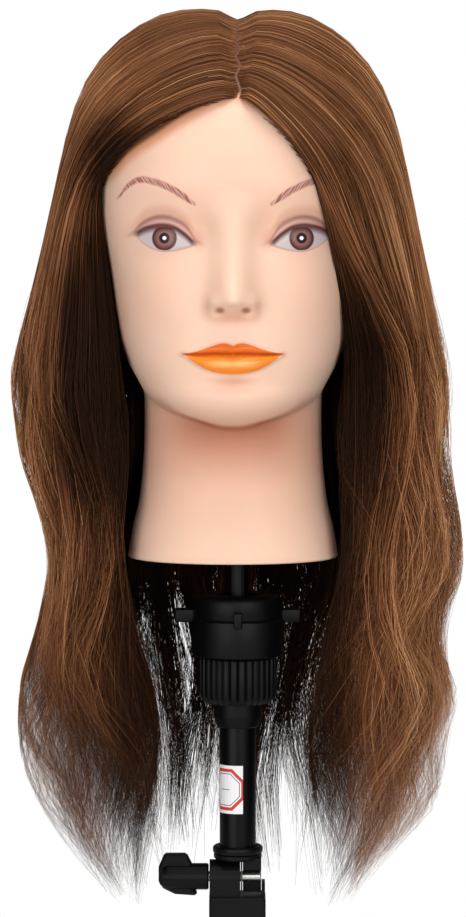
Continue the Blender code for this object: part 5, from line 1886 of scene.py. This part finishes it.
class TRAININGHEAD_OT_spigot(bpy.types.Operator):
    """Finish the lift-out spigot with its plug and grub screw"""

    bl_idname = "training_head.spigot"
    bl_label = "Spigot"

    def execute(self, context):
        stand = settings().stand
        finish_node("spigot_rod", moulded_plastic("rod_lacquer", stand.plastic, 0.34, 500.0, 0.00003))
        plug = moulded_plastic("plug_plastic", stand.plastic, stand.roughness, *PLASTIC_GRAIN)
        finish_node("spigot_plug", plug)
        finish_node("plug_grub_screw", plated_steel("grub_screw_steel", (0.30, 0.30, 0.30, 1.0), 0.40))
        return {"FINISHED"}


class TRAININGHEAD_OT_upright(bpy.types.Operator):
    """Model the collar, grip nut, sleeve and tube, and print the sticker"""

    bl_idname = "training_head.upright"
    bl_label = "Upright tube and grip nut"

    def execute(self, context):
        stand = settings().stand
        plastic = moulded_plastic("upright_plastic", stand.plastic, stand.roughness, *PLASTIC_GRAIN)
        ring_piece("collar", "adapter_collar", turned_rings(COLLAR), plastic, "upright")
        for number in range(len(LUGS)):
            lug(number, plastic)
        ring_piece("ribbed_nut", "grip_nut", nut_rings(), plastic, "nut")
        ring_piece("tube_sleeve", "sleeve", turned_rings(SLEEVE), plastic, "upright")
        ring_piece("flange_ring", "tube_ring", turned_rings(FLANGE), plastic, "upright")
        lacquer = moulded_plastic("tube_lacquer", stand.plastic, 0.30, 400.0, 0.00002)
        ring_piece("lacquered_tube", "upper_tube", turned_rings(TUBE), lacquer, "upright")
        finish_node("collet", moulded_plastic("collet_nylon", (0.62, 0.60, 0.55, 1.0), 0.5, 1500.0, 0.00005))
        low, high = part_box("tube_label")
        finish_node("tube_label", label_paper(STAND, (low.z + high.z) / 2))
        return {"FINISHED"}


class TRAININGHEAD_OT_tilt(bpy.types.Operator):
    """Finish the tilt joint: blocks, friction disc, knob and bolt"""

    bl_idname = "training_head.tilt"
    bl_label = "Tilt joint"

    def execute(self, context):
        stand = settings().stand
        plastic = moulded_plastic("joint_plastic", stand.plastic, stand.roughness, *PLASTIC_GRAIN)
        for name in ("upper_tilt_block", "lower_tilt_block", "tilt_knob"):
            finish_node(name, plastic)
        fibre = moulded_plastic("disc_fibre", (0.10, 0.09, 0.08, 1.0), 0.85, 2500.0, 0.0001)
        finish_node("friction_disc", fibre)
        steel = plated_steel("bolt_steel", ZINC, 0.30)
        finish_node("tilt_bolt", steel)
        finish_node("block_screw", steel)
        return {"FINISHED"}


class TRAININGHEAD_OT_clamp(bpy.types.Operator):
    """Finish the table clamp: post, frame, jaw pad, foot, screw and handle"""

    bl_idname = "training_head.clamp"
    bl_label = "Table clamp"

    def execute(self, context):
        stand = settings().stand
        lacquer = moulded_plastic("post_lacquer", stand.plastic, 0.32, 400.0, 0.00002)
        finish_node("lower_post", lacquer)
        paint = moulded_plastic("clamp_paint", (0.003, 0.003, 0.0033, 1.0), 0.45, 900.0, 0.0001)
        finish_node("clamp_frame", paint)
        finish_node("jaw_pad", moulded_plastic("pad_rubber", (0.03, 0.03, 0.03, 1.0), 0.85, 2500.0, 0.0002))
        finish_node("clamp_foot", moulded_plastic("foot_plastic", stand.plastic, 0.55, *PLASTIC_GRAIN))
        steel = plated_steel("clamp_steel", ZINC, 0.30)
        for name in ("clamp_screw", "clamp_handle", "boss_screw"):
            finish_node(name, steel)
        return {"FINISHED"}


class TRAININGHEAD_OT_stage(bpy.types.Operator):
    """Pale floor, studio lights and the camera"""

    bl_idname = "training_head.stage"
    bl_label = "Stage"

    def execute(self, context):
        scene = bpy.context.scene
        stage = settings().stage
        scene.view_settings.view_transform = "Standard"
        scene.world = studio_world()
        floor = add_mesh("floor_disc", *disc_mesh(stage.floor_radius), floor_material(),
                         (0, 0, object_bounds()[0][2] - FLOOR_GAP))
        floor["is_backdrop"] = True
        middle = HINGE + Vector((0, 0, LIGHTS_HEIGHT))
        for name, place, size, power in LIGHTS:
            light = bpy.data.lights.new(name, "AREA")
            light.size = size
            light.energy = power * stage.brightness
            lamp = bpy.data.objects.new(name, light)
            lamp.location = middle + Vector(place)
            lamp.rotation_euler = (-Vector(place)).to_track_quat("-Z", "Y").to_euler()
            scene.collection.objects.link(lamp)
        camera = bpy.data.cameras.new("camera")
        camera.lens = stage.lens
        camera.sensor_width = 36
        camera.clip_end = 50
        view = bpy.data.objects.new("camera", camera)
        aim = Vector((HEAD_X, HINGE.y, HINGE.z + AIM_HEIGHT))
        view.location = Vector((HEAD_X, HINGE.y - CAMERA_DISTANCE, HINGE.z + CAMERA_HEIGHT))
        view.rotation_euler = (aim - view.location).to_track_quat("-Z", "Y").to_euler()
        scene.collection.objects.link(view)
        scene.camera = view
        return {"FINISHED"}


class TRAININGHEAD_PT_parts(bpy.types.Panel):
    """The training head's pieces and their settings"""

    bl_idname = "TRAININGHEAD_PT_parts"
    bl_label = "Training head"
    bl_space_type = "VIEW_3D"
    bl_region_type = "UI"
    bl_category = "Training head"

    def draw(self, context):
        layout = self.layout
        for group in (settings().skin, settings().hair, settings().stand, settings().stage):
            for name in group.__annotations__:
                layout.prop(group, name)
        for item in OPERATORS:
            layout.operator(item.bl_idname)


OPERATORS = (
    TRAININGHEAD_OT_head,
    TRAININGHEAD_OT_neck,
    TRAININGHEAD_OT_hair,
    TRAININGHEAD_OT_spigot,
    TRAININGHEAD_OT_upright,
    TRAININGHEAD_OT_tilt,
    TRAININGHEAD_OT_clamp,
    TRAININGHEAD_OT_stage,
)
GROUPS = (TrainingHeadSkin, TrainingHeadHair, TrainingHeadStand, TrainingHeadStage, TrainingHeadSettings)
CLASSES = (*GROUPS, *OPERATORS, TRAININGHEAD_PT_parts)


def register():
    for item in CLASSES:
        bpy.utils.register_class(item)
    bpy.types.Scene.training_head = PointerProperty(type=TrainingHeadSettings, name="Training head",
                                                    description="Settings of the training head")


def unregister():
    del bpy.types.Scene.training_head
    for item in reversed(CLASSES):
        bpy.utils.unregister_class(item)


def main():
    register()
    bpy.ops.training_head.head()
    bpy.ops.training_head.neck()
    bpy.ops.training_head.hair()
    bpy.ops.training_head.spigot()
    bpy.ops.training_head.upright()
    bpy.ops.training_head.tilt()
    bpy.ops.training_head.clamp()
    bpy.ops.training_head.stage()


if __name__ == "__main__":
    main()
